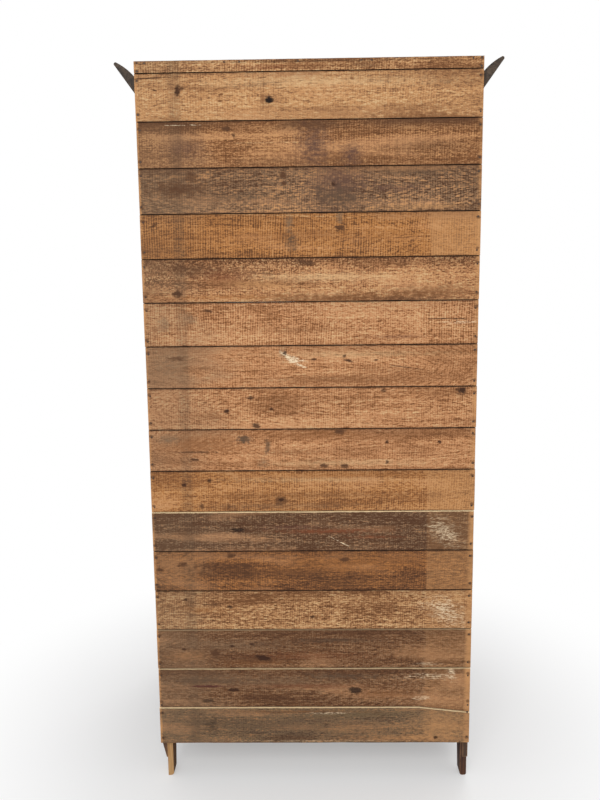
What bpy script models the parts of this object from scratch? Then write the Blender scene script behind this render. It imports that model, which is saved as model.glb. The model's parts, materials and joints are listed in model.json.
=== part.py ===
"""Wooden telephone booth: a boarded back nailed over framed sides, a sprung crown on three
sides, four block feet, and two glazed door leaves that fold inwards on long knuckled hinges.

Metres, +Z up. The booth faces -Y and its boarded back faces +Y; left and right are as seen
from the front. The origin is on the ground, under the middle of the bounding box.
"""

import math

import bmesh
import bpy
from mathutils import Vector

# ---------------------------------------------------------------- driving sizes

# the case
CASE_WIDTH = 0.965  # over the side frames, which is the length of a back board
CASE_DEPTH = 0.820  # face of the front posts to the face of the back boards
BACK_BOTTOM = 0.123  # ground to the lowest back board
BACK_HEIGHT = 2.033  # lowest back board to the top of the case
SIDE_BOTTOM = 0.063  # ground to the lower edge of the side frames, posts and sill
FIT = 0.0003  # clearance between faces that touch
EASE = 0.0012  # width of the softened arrises

# boards of the back
BOARD_COUNT = 16
BOARD_THICKNESS = 0.019
BOARD_GAP = 0.0025  # open seam left by shrinkage
TOP_STRIP_WIDTH = 0.031  # narrow ripped board over the edge of the roof
BOARD_WIDTH_SHIFTS = (  # how far each sawn board departs from its fellows, top to bottom
    0.0040, 0.0010, 0.0005, 0.0, -0.0010, 0.0010, -0.0025, -0.0020,
    0.0, 0.0005, -0.0020, 0.0, 0.0, 0.0020, 0.0040, -0.0040,
)  # fmt: skip
SPLIT_LENGTH = 0.157  # the lowest seam runs down over this last stretch, where a board split
SPLIT_DROP = 0.018

# framed sides
SIDE_THICKNESS = 0.016
SIDE_STILE_WIDTH = 0.085
SIDE_TOP_RAIL = 0.125
SIDE_MIDDLE_RAIL = 0.090
SIDE_BOTTOM_RAIL = 0.150
SIDE_MIDDLE_RAIL_HEIGHT = 0.900  # ground to the middle of that rail
SIDE_STICKING = 0.003  # chamfer round the panel openings
TOE_CUT = 0.013  # the lower outer edge of the right side slants in by this much
TOE_HEIGHT = 0.056
TENON_THICKNESS = 0.006
TENON_LENGTH = 0.022
TENON_PLAY = 0.001  # room for glue at the end of a mortise

# grooves, and the panels and panes that stand in them
GROOVE_DEPTH = 0.0085
PANEL_TONGUE = 0.0060  # thickness of a panel's edge
PANEL_PLAY = 0.0015  # room for a panel to swell
PANEL_FLAT = 0.012  # width of that edge before the slope starts
PANEL_SLOPE = 0.034
PANEL_RISE = 0.0035
GLASS_THICKNESS = 0.0060

# feet
LEG_THICKNESS = 0.018
LEG_DEPTH = 0.064
LEG_TOE_DEPTH = 0.042
LEG_ROUND = 0.011  # rounding of the inner lower corner
SHOE_THICKNESS = 0.020  # the rear left leg steps out to this under its side
SHOE_INSET = 0.003  # outer face of the side to the outer face of that leg
SHOE_ROUND = 0.007

# front
POST_WIDTH = 0.070
FRIEZE_THICKNESS = 0.020
FRIEZE_HEIGHT = 0.208  # down from the top of the case

# floor and roof
FLOOR_TOP = 0.165
FLOOR_THICKNESS = 0.020
ROOF_THICKNESS = 0.020
PLANK_WIDTH = 0.130  # boards that the floor and the roof are jointed from
PLANK_VEE = 0.003  # depth of the vee along each joint

# crown, outwards from the face of the case and down from its top
CROWN_REACH = 0.0590
CROWN_HEIGHT = 0.0850
CROWN_SEAT = 0.0470  # height of the flat that lies on the case
CROWN_RISE = 0.0035  # the nose stands this far above the case
CROWN_NOSE = 0.0100  # thickness of the nose
CROWN_BELLY = 0.0036  # swell of the upper face
CROWN_STEPS = 6

# folding door
DOOR_THICKNESS = 0.028
DOOR_RECESS = 0.008
DOOR_BOTTOM_GAP = 0.010
DOOR_TOP_GAP = 0.005
HINGE_GAP = 0.003  # between a post and a leaf, and between the leaves
SWING_CLEARANCE = 0.0027  # least gap between the free edge and its post as the door starts to fold
DOOR_STILE = 0.068
DOOR_TOP_RAIL = 0.095
DOOR_LOCK_RAIL = 0.110
DOOR_BOTTOM_RAIL = 0.160
DOOR_LOCK_RAIL_HEIGHT = 0.855  # ground to the middle of that rail
DOOR_STICKING = 0.006

# knuckled hinges
KNUCKLES = 25
KNUCKLE_RADIUS = 0.0042
KNUCKLE_PLAY = 0.0004
HINGE_PLATE = 0.0020
HINGE_LEAF_WIDTH = 0.027
HINGE_END_GAP = 0.030  # from the ends of the door to the ends of a hinge
PIN_RADIUS = 0.0018
PIN_PRESS = 0.0002  # the pin is this much larger than the knuckles that hold it
PIN_INSET = 0.0010
PIN_SIDES = 12
ROLL_END = math.radians(-22)  # the rolled edge stops here, short of its own plate
ROLL_STEPS = 8

# guide and track
GUIDE_INSET = 0.008  # guide pin to the free edge of the door
GUIDE_PIN_RADIUS = 0.0030
GUIDE_STRAP_WIDTH = 0.030
GUIDE_STRAP_HEIGHT = 0.055
GUIDE_STRAP_DROP = 0.002  # strap below the top of the door
TRACK_HEIGHT = 0.036
TRACK_REAR_THICKNESS = 0.016
TRACK_SIDE_PLAY = 0.0030
TRACK_ENGAGEMENT = 0.015  # length of pin in the track

# knobs
KNOB_RADIUS = 0.017
KNOB_FLATTENING = 0.62  # its thickness over its width
KNOB_NECK_LENGTH = 0.014
KNOB_NECK_RADIUS = 0.006
ROSE_RADIUS = 0.019
ROSE_THICKNESS = 0.003
SPINDLE_RADIUS = 0.005
KNOB_SIDES = 18
KNOB_RINGS = 7
KNOB_HEIGHT = 1.060  # ground to the knobs

# inside
SEAT_RADIUS = 0.330
SEAT_THICKNESS = 0.026
SEAT_TOP = 0.625
SEAT_STEPS = 14
CLEAT_HEIGHT = 0.045  # below the seat
CLEAT_THICKNESS = 0.024
CLEAT_LENGTH = 0.285
SHELF_WIDTH = 0.420
SHELF_DEPTH = 0.230
SHELF_THICKNESS = 0.020
SHELF_TOP = 1.120
SHELF_CENTRE = -0.120  # the shelf and the backboard stand left of the middle, clear of the seat
BRACKET_THICKNESS = 0.020
BRACKET_DROP = 0.140
BRACKET_REACH = 0.170
BRACKET_FOOT = 0.022
BRACKET_INSET = 0.060
BRACKET_STEPS = 8
BACKBOARD_WIDTH = 0.300
BACKBOARD_HEIGHT = 0.480
BACKBOARD_THICKNESS = 0.020
BACKBOARD_BOTTOM = 1.220
BACKBOARD_CHAMFER = 0.006

OVERCUT = 0.001  # how far a cutter stands clear of what it cuts

# ---------------------------------------------------------------- places that follow from them

CASE_TOP = BACK_BOTTOM + BACK_HEIGHT
FRONT_FACE = (CROWN_REACH - CASE_DEPTH) / 2
BACK_FACE = FRONT_FACE + CASE_DEPTH
HALF_WIDTH = CASE_WIDTH / 2
SIDE_INNER = HALF_WIDTH - SIDE_THICKNESS
FRIEZE_BOTTOM = CASE_TOP - FRIEZE_HEIGHT
POST_INNER = HALF_WIDTH - POST_WIDTH
BOARD_INNER = BACK_FACE - BOARD_THICKNESS
SIDE_REAR = BOARD_INNER - FIT
SIDE_REAR_STILE = SIDE_REAR - SIDE_STILE_WIDTH
SIDE_FRONT_STILE = FRONT_FACE + SIDE_STILE_WIDTH

DOOR_OUTER_FACE = FRONT_FACE + DOOR_RECESS
DOOR_INNER_FACE = DOOR_OUTER_FACE + DOOR_THICKNESS
POST_BACK = DOOR_INNER_FACE  # a hinge lies flat over post and leaf
DOOR_BOTTOM = FLOOR_TOP + DOOR_BOTTOM_GAP
DOOR_TOP = FRIEZE_BOTTOM - DOOR_TOP_GAP
FLOOR_UNDERSIDE = FLOOR_TOP - FLOOR_THICKNESS

KNUCKLE_BORE = KNUCKLE_RADIUS - HINGE_PLATE
AXIS_LIFT = KNUCKLE_RADIUS + FIT  # hinge axis to the face that the plates lie on
SWING_OUT = (DOOR_THICKNESS + 2 * AXIS_LIFT) ** 2 / POST_INNER  # gained as the leaves line up
FREE_EDGE = POST_INNER - SWING_OUT - SWING_CLEARANCE
GUIDE_X = FREE_EDGE - GUIDE_INSET
JAMB_AXIS = Vector((-POST_INNER + HINGE_GAP / 2, DOOR_INNER_FACE + AXIS_LIFT, 0))
FOLD_AXIS = Vector(((JAMB_AXIS.x + GUIDE_X) / 2, DOOR_OUTER_FACE - AXIS_LIFT, 0))
HINGE_LENGTH = DOOR_TOP - DOOR_BOTTOM - 2 * HINGE_END_GAP
GROOVE_WIDTH = PANEL_TONGUE + 2 * FIT

# ---------------------------------------------------------------- finishes

PINE_TONES = {
    "honey": (0.50, 0.30, 0.15),
    "tan": (0.40, 0.24, 0.12),
    "orange": (0.45, 0.22, 0.08),
    "rose": (0.42, 0.25, 0.16),
    "umber": (0.27, 0.15, 0.08),
    "slate": (0.17, 0.11, 0.07),
}
BOARD_TONES = (
    "honey", "orange", "umber", "orange", "tan", "rose", "orange", "tan",
    "orange", "orange", "slate", "tan", "tan", "slate", "slate", "umber",
)  # fmt: skip
RAW_PINE = (0.52, 0.36, 0.20)
STAINED_WOOD = (0.085, 0.040, 0.020)
BRASS = (0.60, 0.42, 0.16)
DARK_IRON = (0.05, 0.045, 0.04)
CLEAR_GLASS = (0.85, 0.92, 0.90)


def finish(name, colour, roughness=0.6, metallic=0.0, alpha=1.0):
    """A Principled material in one colour."""
    material = bpy.data.materials.new(name)
    material.use_nodes = True
    shader = material.node_tree.nodes["Principled BSDF"]
    shader.inputs["Base Color"].default_value = (*colour, 1.0)
    shader.inputs["Roughness"].default_value = roughness
    shader.inputs["Metallic"].default_value = metallic
    shader.inputs["Alpha"].default_value = alpha
    return material


# ---------------------------------------------------------------- shapes


def box(low, high):
    """A box between two corners."""
    low, high = Vector(low), Vector(high)
    shape = bmesh.new()
    bmesh.ops.create_cube(shape, size=1)
    bmesh.ops.scale(shape, vec=high - low, verts=shape.verts)
    bmesh.ops.translate(shape, vec=(high + low) / 2, verts=shape.verts)
    return shape


def lofted(rings):
    """Rings of equally many points, skinned into one closed solid with flat ends."""
    shape = bmesh.new()
    loops = [[shape.verts.new(point) for point in ring] for ring in rings]
    for near, far in zip(loops, loops[1:]):
        for i in range(len(near)):
            j = (i + 1) % len(near)
            shape.faces.new((near[i], near[j], far[j], far[i]))
    shape.faces.new(loops[0])
    shape.faces.new(loops[-1])
    return shape


def prism(outline, axis, start, stop):
    """An outline drawn across an axis, swept along it from start to stop."""
    place = {
        "X": lambda u, v, along: (along, u, v),
        "Y": lambda u, v, along: (u, along, v),
        "Z": lambda u, v, along: (u, v, along),
    }[axis]
    return lofted([[place(u, v, along) for u, v in outline] for along in (start, stop)])


def turned(stations, sides, axis):
    """Rings of (distance, radius) turned about an axis through the origin."""
    place = {
        "Y": lambda u, v, along: (u, along, v),
        "Z": lambda u, v, along: (u, v, along),
    }[axis]
    turns = [2 * math.pi * (i + 0.5) / sides for i in range(sides)]
    return lofted(
        [
            [place(radius * math.cos(a), radius * math.sin(a), along) for a in turns]
            for along, radius in stations
        ]
    )


def arc(centre, radius, start, stop, steps):
    """Points along an arc, ends included, angles in radians."""
    return [
        (
            centre[0] + radius * math.cos(start + (stop - start) * i / steps),
            centre[1] + radius * math.sin(start + (stop - start) * i / steps),
        )
        for i in range(steps + 1)
    ]


def gathered(shapes):
    """Several separate shapes in one guide."""
    whole = bmesh.new()
    for shape in shapes:
        bmesh.ops.recalc_face_normals(shape, faces=shape.faces)
        part = bpy.data.meshes.new("part")
        shape.to_mesh(part)
        shape.free()
        whole.from_mesh(part)
        bpy.data.meshes.remove(part)
    return whole


# ---------------------------------------------------------------- pieces and guides


def world_place(carrier):
    """Where an empty stands; none of them is turned."""
    if carrier is None:
        return Vector((0, 0, 0))
    return carrier.location + world_place(carrier.parent)


def linked(name, shape, place, carrier):
    bmesh.ops.recalc_face_normals(shape, faces=shape.faces)
    mesh = bpy.data.meshes.new(name)
    shape.to_mesh(mesh)
    shape.free()
    made = bpy.data.objects.new(name, mesh)
    bpy.context.collection.objects.link(made)
    made.parent = carrier
    made.location = Vector(place) - world_place(carrier)
    return made


def piece(name, shape, material, place=(0, 0, 0), carrier=None):
    """One separate piece of the booth, placed by its own origin."""
    made = linked(name, shape, place, carrier)
    made.data.materials.append(material)
    return made


def board(name, low, high, material, carrier=None):
    """A squared board between two corners of the booth, with its origin at the low one."""
    size = Vector(high) - Vector(low)
    return piece(name, box((0, 0, 0), size), material, low, carrier)


def guide(name, shape, place=(0, 0, 0), carrier=None):
    """A hidden shape that pieces are cut with or grown by."""
    made = linked(name, shape, place, carrier)
    made.hide_render = True
    made.display_type = "WIRE"
    return made


def joined(made, other, operation):
    boolean = made.modifiers.new(operation.lower() + " " + other.name, "BOOLEAN")
    boolean.operation = operation
    boolean.solver = "EXACT"
    boolean.object = other
    return made


def cut(made, *cutters):
    for cutter in cutters:
        joined(made, cutter, "DIFFERENCE")
    return made


def eased(made, width=EASE):
    """Softens the arrises with one narrow chamfer."""
    bevel = made.modifiers.new("eased arrises", "BEVEL")
    bevel.width = width
    bevel.segments = 1
    bevel.limit_method = "ANGLE"
    bevel.angle_limit = math.radians(40)
    return made


def empty(name, place, parent=None):
    """An empty that stands on the axis of a joint."""
    made = bpy.data.objects.new(name, None)
    bpy.context.collection.objects.link(made)
    made.parent = parent
    made.location = place - world_place(parent)
    return made


# ---------------------------------------------------------------- joinery


def frame_ring(axis, depth, opening, grow):
    """The outline of an opening in a frame, grown all round, at one depth of the frame."""
    (u0, z0), (u1, z1) = opening
    corners = (
        (u0 - grow, z0 - grow),
        (u1 + grow, z0 - grow),
        (u1 + grow, z1 + grow),
        (u0 - grow, z1 + grow),
    )
    return [(depth, u, z) if axis == "X" else (u, depth, z) for u, z in corners]


def opening_cutter(axis, faces, opening, sticking):
    """Cuts an opening through a frame, with its chamfers and the groove round it."""
    near, far = faces
    middle = (near + far) / 2
    half_groove = GROOVE_WIDTH / 2
    steps = (
        (near - OVERCUT, sticking + OVERCUT),
        (near + sticking, 0),
        (middle - half_groove, 0),
        (middle - half_groove, GROOVE_DEPTH),
        (middle + half_groove, GROOVE_DEPTH),
        (middle + half_groove, 0),
        (far - sticking, 0),
        (far + OVERCUT, sticking + OVERCUT),
    )
    return lofted([frame_ring(axis, depth, opening, grow) for depth, grow in steps])


def raised_panel(axis, middle, outward, opening):
    """A panel with thin edges in the groove and a raised field on its outer face."""
    edge = GROOVE_DEPTH - PANEL_PLAY
    half = outward * PANEL_TONGUE / 2
    steps = (
        (middle - half, edge),
        (middle + half, edge),
        (middle + half, edge - PANEL_FLAT),
        (middle + half + outward * PANEL_RISE, edge - PANEL_FLAT - PANEL_SLOPE),
    )
    return lofted([frame_ring(axis, depth, opening, grow) for depth, grow in steps])


def glass_pane(axis, middle, opening):
    half = GLASS_THICKNESS / 2
    edge = GROOVE_DEPTH - PANEL_PLAY
    return lofted([frame_ring(axis, middle + d, opening, edge) for d in (-half, half)])


def tenoned_rail(low, high):
    """A side rail along Y, with a tenon on each end."""
    shoulder = (high[0] - low[0] - TENON_THICKNESS) / 2
    rings = []
    for y, inset in (
        (low[1] - TENON_LENGTH, shoulder),
        (low[1], shoulder),
        (low[1], 0),
        (high[1], 0),
        (high[1], shoulder),
        (high[1] + TENON_LENGTH, shoulder),
    ):
        x0, x1 = low[0] + inset, high[0] - inset
        z0, z1 = low[2] + inset, high[2] - inset
        rings.append([(x0, y, z0), (x1, y, z0), (x1, y, z1), (x0, y, z1)])
    return lofted(rings)


# ---------------------------------------------------------------- the back


def board_widths():
    """Widths of the wide boards, top to bottom; together with the seams they fill the back."""
    seams = BOARD_COUNT * BOARD_GAP
    shifts = BOARD_WIDTH_SHIFTS[:BOARD_COUNT]
    mean = (BACK_HEIGHT - TOP_STRIP_WIDTH - seams - sum(shifts)) / BOARD_COUNT
    return [mean + shift for shift in shifts]


def back_board_outline(top, bottom, is_last, is_above_last):
    """A board's face in X and Z; the lowest seam drops towards the left end."""
    left, right = -HALF_WIDTH, HALF_WIDTH
    split = left + SPLIT_LENGTH
    lower = [(left, bottom), (right, bottom)]
    upper = [(right, top), (left, top)]
    if is_above_last:
        lower = [(left, bottom - SPLIT_DROP), (split, bottom), (right, bottom)]
    if is_last:
        upper = [(right, top), (split, top), (left, top - SPLIT_DROP)]
    return lower + upper


def build_back():
    strip = finish("top_strip_pine", PINE_TONES["umber"], 0.8)
    low = (-HALF_WIDTH, BOARD_INNER, CASE_TOP - TOP_STRIP_WIDTH)
    eased(board("back_top_strip", low, (HALF_WIDTH, BACK_FACE, CASE_TOP), strip))
    top = CASE_TOP - TOP_STRIP_WIDTH - BOARD_GAP
    for number, width in enumerate(board_widths(), start=1):
        bottom = top - width
        outline = back_board_outline(0, -width, number == BOARD_COUNT, number == BOARD_COUNT - 1)
        tone = finish(f"pine_{number:02d}", PINE_TONES[BOARD_TONES[number - 1]], 0.8)
        shape = prism(outline, "Y", 0, BOARD_THICKNESS)
        name = f"back_board_{number:02d}"
        eased(piece(name, shape, tone, (0, BOARD_INNER, top)))
        top = bottom - BOARD_GAP


# ---------------------------------------------------------------- the sides


def side_faces(side):
    """The side frame's two faces along X, low one first."""
    return sorted((side * HALF_WIDTH, side * SIDE_INNER))


def side_openings():
    """Corners in Y and Z of the lower and the upper panel opening of a side."""
    middle_low = SIDE_MIDDLE_RAIL_HEIGHT - SIDE_MIDDLE_RAIL / 2
    middle_high = SIDE_MIDDLE_RAIL_HEIGHT + SIDE_MIDDLE_RAIL / 2
    return (
        ((SIDE_FRONT_STILE, SIDE_BOTTOM + SIDE_BOTTOM_RAIL), (SIDE_REAR_STILE, middle_low)),
        ((SIDE_FRONT_STILE, middle_high), (SIDE_REAR_STILE, CASE_TOP - SIDE_TOP_RAIL)),
    )


def side_rails():
    """Name and vertical span of each rail."""
    (_, lower_bottom), (_, lower_top) = side_openings()[0]
    (_, upper_bottom), (_, upper_top) = side_openings()[1]
    return (
        ("bottom", SIDE_BOTTOM, lower_bottom),
        ("middle", lower_top, upper_bottom),
        ("top", upper_top, CASE_TOP),
    )


def mortises(side):
    """The mortises of one side, as one guide for both of its uprights."""
    x0, x1 = side_faces(side)
    shoulder = (SIDE_THICKNESS - TENON_THICKNESS) / 2 - FIT
    depth = TENON_LENGTH + TENON_PLAY
    shapes = []
    for _, z0, z1 in side_rails():
        low = (x0 + shoulder, SIDE_FRONT_STILE - depth, z0 + shoulder)
        high = (x1 - shoulder, SIDE_REAR_STILE + depth, z1 - shoulder)
        shapes.append(box(low, high))
    return gathered(shapes)


def post_outline(side):
    """Plan of a front post: its square front with the side's front stile behind it."""
    inner, wall, outer = side * POST_INNER, side * SIDE_INNER, side * HALF_WIDTH
    return [
        (inner, FRONT_FACE),
        (outer, FRONT_FACE),
        (outer, SIDE_FRONT_STILE),
        (wall, SIDE_FRONT_STILE),
        (wall, POST_BACK),
        (inner, POST_BACK),
    ]


def toe_wedge(side):
    """What is planed off the lower outer edge of the right side."""
    slope = TOE_CUT / TOE_HEIGHT
    outer = side * (HALF_WIDTH + OVERCUT)
    inner = side * (HALF_WIDTH - TOE_CUT - slope * OVERCUT)
    low, high = SIDE_BOTTOM - OVERCUT, SIDE_BOTTOM + TOE_HEIGHT + OVERCUT / slope
    outline = [(inner, low), (outer, low), (outer, high)]
    return prism(outline, "Y", FRONT_FACE - OVERCUT, BACK_FACE)


def build_side(name, side, stain):
    faces = side_faces(side)
    cutters = [opening_cutter("X", faces, opening, SIDE_STICKING) for opening in side_openings()]
    openings = guide(f"{name}_openings", gathered(cutters))
    sockets = guide(f"{name}_mortises", mortises(side))
    toe = [guide(f"{name}_toe_cut", toe_wedge(side))] if side > 0 else []

    rear = box((faces[0], SIDE_REAR_STILE, SIDE_BOTTOM), (faces[1], SIDE_REAR, CASE_TOP))
    cut(piece(f"{name}_rear_stile", rear, stain), sockets, openings, *toe)
    post = prism(post_outline(side), "Z", SIDE_BOTTOM, CASE_TOP)
    cut(piece(f"front_post_{name.split('_')[1]}", post, stain), sockets, openings, *toe)

    for rail, z0, z1 in side_rails():
        low = (faces[0], SIDE_FRONT_STILE + FIT, z0)
        high = (faces[1], SIDE_REAR_STILE - FIT, z1)
        made = cut(piece(f"{name}_{rail}_rail", tenoned_rail(low, high), stain), openings)
        if rail == "bottom":
            cut(made, *toe)
    for level, opening in zip(("lower", "upper"), side_openings()):
        panel = raised_panel("X", sum(faces) / 2, side, opening)
        piece(f"{name}_{level}_panel", panel, stain)


# ---------------------------------------------------------------- feet, floor, roof, front


def leg_outline(height):
    """A plain leg of the right side, in X and Z, rounded at its inner lower corner."""
    outer = SIDE_INNER - FIT
    inner = outer - LEG_THICKNESS
    toe = arc((inner + LEG_ROUND, LEG_ROUND), LEG_ROUND, math.pi, math.pi * 1.5, 5)
    return [(inner, height), *toe, (outer, 0), (outer, height)]


def shoe_outline(height):
    """A leg of the right side that steps out under it and carries it on a shoulder."""
    outer = HALF_WIDTH - SHOE_INSET
    inner = outer - SHOE_THICKNESS
    toe = arc((inner + SHOE_ROUND, SHOE_ROUND), SHOE_ROUND, math.pi, math.pi * 1.5, 5)
    heel = arc((outer - SHOE_ROUND, SHOE_ROUND), SHOE_ROUND, -math.pi / 2, 0, 5)
    lap, shoulder = SIDE_INNER - FIT, SIDE_BOTTOM - FIT
    return [(inner, height), *toe, *heel, (outer, shoulder), (lap, shoulder), (lap, height)]


def build_legs(pine, stain):
    """Blocks inside the corners that carry the case and reach the ground."""
    height = FLOOR_UNDERSIDE - FIT
    for end, side in (("left", -1), ("right", 1)):
        for face, y, inwards in (("front", POST_BACK + FIT, 1), ("rear", SIDE_REAR, -1)):
            shod = (face, end) == ("rear", "left")
            rings = [[], []]
            for x, z in shoe_outline(height) if shod else leg_outline(height):
                depth = LEG_TOE_DEPTH + (LEG_DEPTH - LEG_TOE_DEPTH) * z / height
                rings[0].append((side * x, 0, z))
                rings[1].append((side * x, inwards * depth, z))
            made = lofted(rings)
            piece(f"leg_{face}_{end}", made, stain if shod else pine, (0, y, 0))


def plank_vees(name, faces, start, stop):
    """Vees along the joints between planks, on the given faces."""
    count = round((stop - start) / PLANK_WIDTH)
    pitch = (stop - start) / count
    shapes = []
    for z, downwards in faces:
        for i in range(1, count):
            y = start + i * pitch
            tip = PLANK_VEE * downwards
            lip = OVERCUT * downwards
            reach = PLANK_VEE + OVERCUT
            outline = [(y, z - tip), (y - reach, z + lip), (y + reach, z + lip)]
            shapes.append(prism(outline, "X", -HALF_WIDTH, HALF_WIDTH))
    return guide(name, gathered(shapes))


def build_floor_and_roof(pine):
    wide = SIDE_INNER - FIT
    front, back = POST_BACK + FIT, SIDE_REAR
    floor = box((-wide, front, FLOOR_UNDERSIDE), (wide, back, FLOOR_TOP))
    cut(piece("floor", floor, pine), plank_vees("floor_vees", [(FLOOR_TOP, 1)], front, back))

    narrow = POST_INNER - FIT
    nose = FRONT_FACE + FRIEZE_THICKNESS + FIT
    outline = [
        (-wide, front), (-narrow, front), (-narrow, nose), (narrow, nose),
        (narrow, front), (wide, front), (wide, back), (-wide, back),
    ]  # fmt: skip
    underside = CASE_TOP - ROOF_THICKNESS
    roof = piece("roof", prism(outline, "Z", underside, CASE_TOP), pine)
    cut(roof, plank_vees("roof_vees", [(CASE_TOP, 1), (underside, -1)], front, back))


def crown_section():
    """The crown's end grain: outwards from the case in the first value, upwards in the second."""
    foot = (FIT, -CROWN_HEIGHT)
    heel = (FIT, -CROWN_HEIGHT + CROWN_SEAT)
    radius = CROWN_NOSE / 2
    centre = (CROWN_REACH - radius, CROWN_RISE - radius)
    nose = arc(centre, radius, math.radians(-52), math.radians(104), CROWN_STEPS)
    start = Vector(nose[-1])
    run = Vector(heel) - start
    swell = Vector((run.y, -run.x)).normalized() * CROWN_BELLY
    upper = []
    for i in range(1, CROWN_STEPS):
        share = i / CROWN_STEPS
        upper.append(tuple(start + run * share + swell * 4 * share * (1 - share)))
    return [foot, *nose, *upper, heel]


def build_crown(stain):
    """Crown on three sides, mitred at the front corners and square at the back."""
    mitre = FIT * math.sqrt(2) / 2
    for end, side in (("left", -1), ("right", 1)):
        rings = [[], []]
        for out, up in crown_section():
            rings[0].append((side * (HALF_WIDTH + out), SIDE_REAR, CASE_TOP + up))
            rings[1].append((side * (HALF_WIDTH + out), FRONT_FACE - out + mitre, CASE_TOP + up))
        piece(f"crown_{end}", lofted(rings), stain)
    rings = [[], []]
    for out, up in crown_section():
        for ring, side in zip(rings, (-1, 1)):
            ring.append((side * (HALF_WIDTH + out - mitre), FRONT_FACE - out, CASE_TOP + up))
    piece("crown_front", lofted(rings), stain)


def build_front(stain, pine):
    wide = POST_INNER - FIT
    low = (-wide, FRONT_FACE, FRIEZE_BOTTOM)
    high = (wide, FRONT_FACE + FRIEZE_THICKNESS, CASE_TOP)
    eased(board("frieze_board", low, high, stain))
    low = (-wide, FRONT_FACE, SIDE_BOTTOM)
    eased(board("front_sill", low, (wide, POST_BACK, FLOOR_TOP), stain))

    half_slot = GUIDE_PIN_RADIUS + TRACK_SIDE_PLAY
    top = FRIEZE_BOTTOM + TRACK_HEIGHT
    low = (-wide, FRONT_FACE + FRIEZE_THICKNESS + FIT, FRIEZE_BOTTOM)
    eased(board("track_front_rail", low, (wide, JAMB_AXIS.y - half_slot, top), pine))
    rear = JAMB_AXIS.y + half_slot
    low = (-SIDE_INNER + FIT, rear, FRIEZE_BOTTOM)
    high = (SIDE_INNER - FIT, rear + TRACK_REAR_THICKNESS, top)
    eased(board("track_rear_rail", low, high, pine))


# ---------------------------------------------------------------- the folding door


def rolled_section(bore, width, reach, wood):
    """Section of a strap about its axis: a plate rolled into a knuckle with an open seam.

    reach is the way the plate runs along X, and wood the way the wood lies along Y.
    """
    top = KNUCKLE_BORE
    start, stop = -math.pi / 2, ROLL_END - 2 * math.pi
    outer = arc((0, 0), KNUCKLE_RADIUS, start, stop, ROLL_STEPS)
    inner = arc((0, 0), bore, stop, start, ROLL_STEPS)
    step = [(0, -top)] if bore < top else []
    points = [(width, -KNUCKLE_RADIUS), *outer, *inner, *step, (width, -top)]
    return [(reach * u, -wood * v) for u, v in points]


def knuckle_notches(other_is_first):
    """Clears the other leaf's knuckles out of the full roll."""
    pitch = HINGE_LENGTH / KNUCKLES
    clear = KNUCKLE_RADIUS + KNUCKLE_PLAY
    shapes = []
    for number in range(0 if other_is_first else 1, KNUCKLES, 2):
        low = (-clear, -clear, number * pitch - KNUCKLE_PLAY / 2)
        high = (clear, clear, (number + 1) * pitch + KNUCKLE_PLAY / 2)
        shapes.append(box(low, high))
    return gathered(shapes)


def hinge_leaf(name, axis, reach, wood, holds_pin, brass, carrier=None):
    """One leaf of a long hinge. The leaf that holds the pin has the first and last knuckle."""
    place = (axis.x, axis.y, DOOR_BOTTOM + HINGE_END_GAP)
    bore = PIN_RADIUS - PIN_PRESS if holds_pin else KNUCKLE_BORE
    roll = prism(rolled_section(bore, HINGE_LEAF_WIDTH, reach, wood), "Z", 0, HINGE_LENGTH)
    made = piece(name, roll, brass, place, carrier)
    cut(made, guide(f"{name}_notches", knuckle_notches(not holds_pin), place, carrier))
    if holds_pin:
        ends = [(PIN_INSET, PIN_RADIUS), (HINGE_LENGTH - PIN_INSET, PIN_RADIUS)]
        pin = guide(f"{name}_pin", turned(ends, PIN_SIDES, "Z"), place, carrier)
        joined(made, pin, "UNION")
    return made


def door_openings(x0, x1):
    """Corners in X and Z of the panel opening and the glass opening of a leaf."""
    left, right = x0 + DOOR_STILE, x1 - DOOR_STILE
    lock_low = DOOR_LOCK_RAIL_HEIGHT - DOOR_LOCK_RAIL / 2
    lock_high = DOOR_LOCK_RAIL_HEIGHT + DOOR_LOCK_RAIL / 2
    return (
        ((left, DOOR_BOTTOM + DOOR_BOTTOM_RAIL), (right, lock_low)),
        ((left, lock_high), (right, DOOR_TOP - DOOR_TOP_RAIL)),
    )


def build_leaf(name, x0, x1, carrier, stain, glass):
    """A door leaf: its frame, the panel below the lock rail and the pane above it."""
    panel_opening, glass_opening = door_openings(x0, x1)
    faces = (DOOR_OUTER_FACE, DOOR_INNER_FACE)
    middle = sum(faces) / 2
    frame = box((x0, faces[0], DOOR_BOTTOM), (x1, faces[1], DOOR_TOP))
    centre = world_place(carrier)

    def local(shape):
        bmesh.ops.translate(shape, vec=-centre, verts=shape.verts)
        return shape

    cutters = [
        opening_cutter("Y", faces, opening, DOOR_STICKING)
        for opening in (panel_opening, glass_opening)
    ]
    openings = guide(f"{name}_openings", local(gathered(cutters)), centre, carrier)
    made = cut(piece(f"{name}_frame", local(frame), stain, centre, carrier), openings)
    panel = local(raised_panel("Y", middle, -1, panel_opening))
    piece(f"{name}_panel", panel, stain, centre, carrier)
    piece(f"{name}_glass", local(glass_pane("Y", middle, glass_opening)), glass, centre, carrier)
    return made


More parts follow.
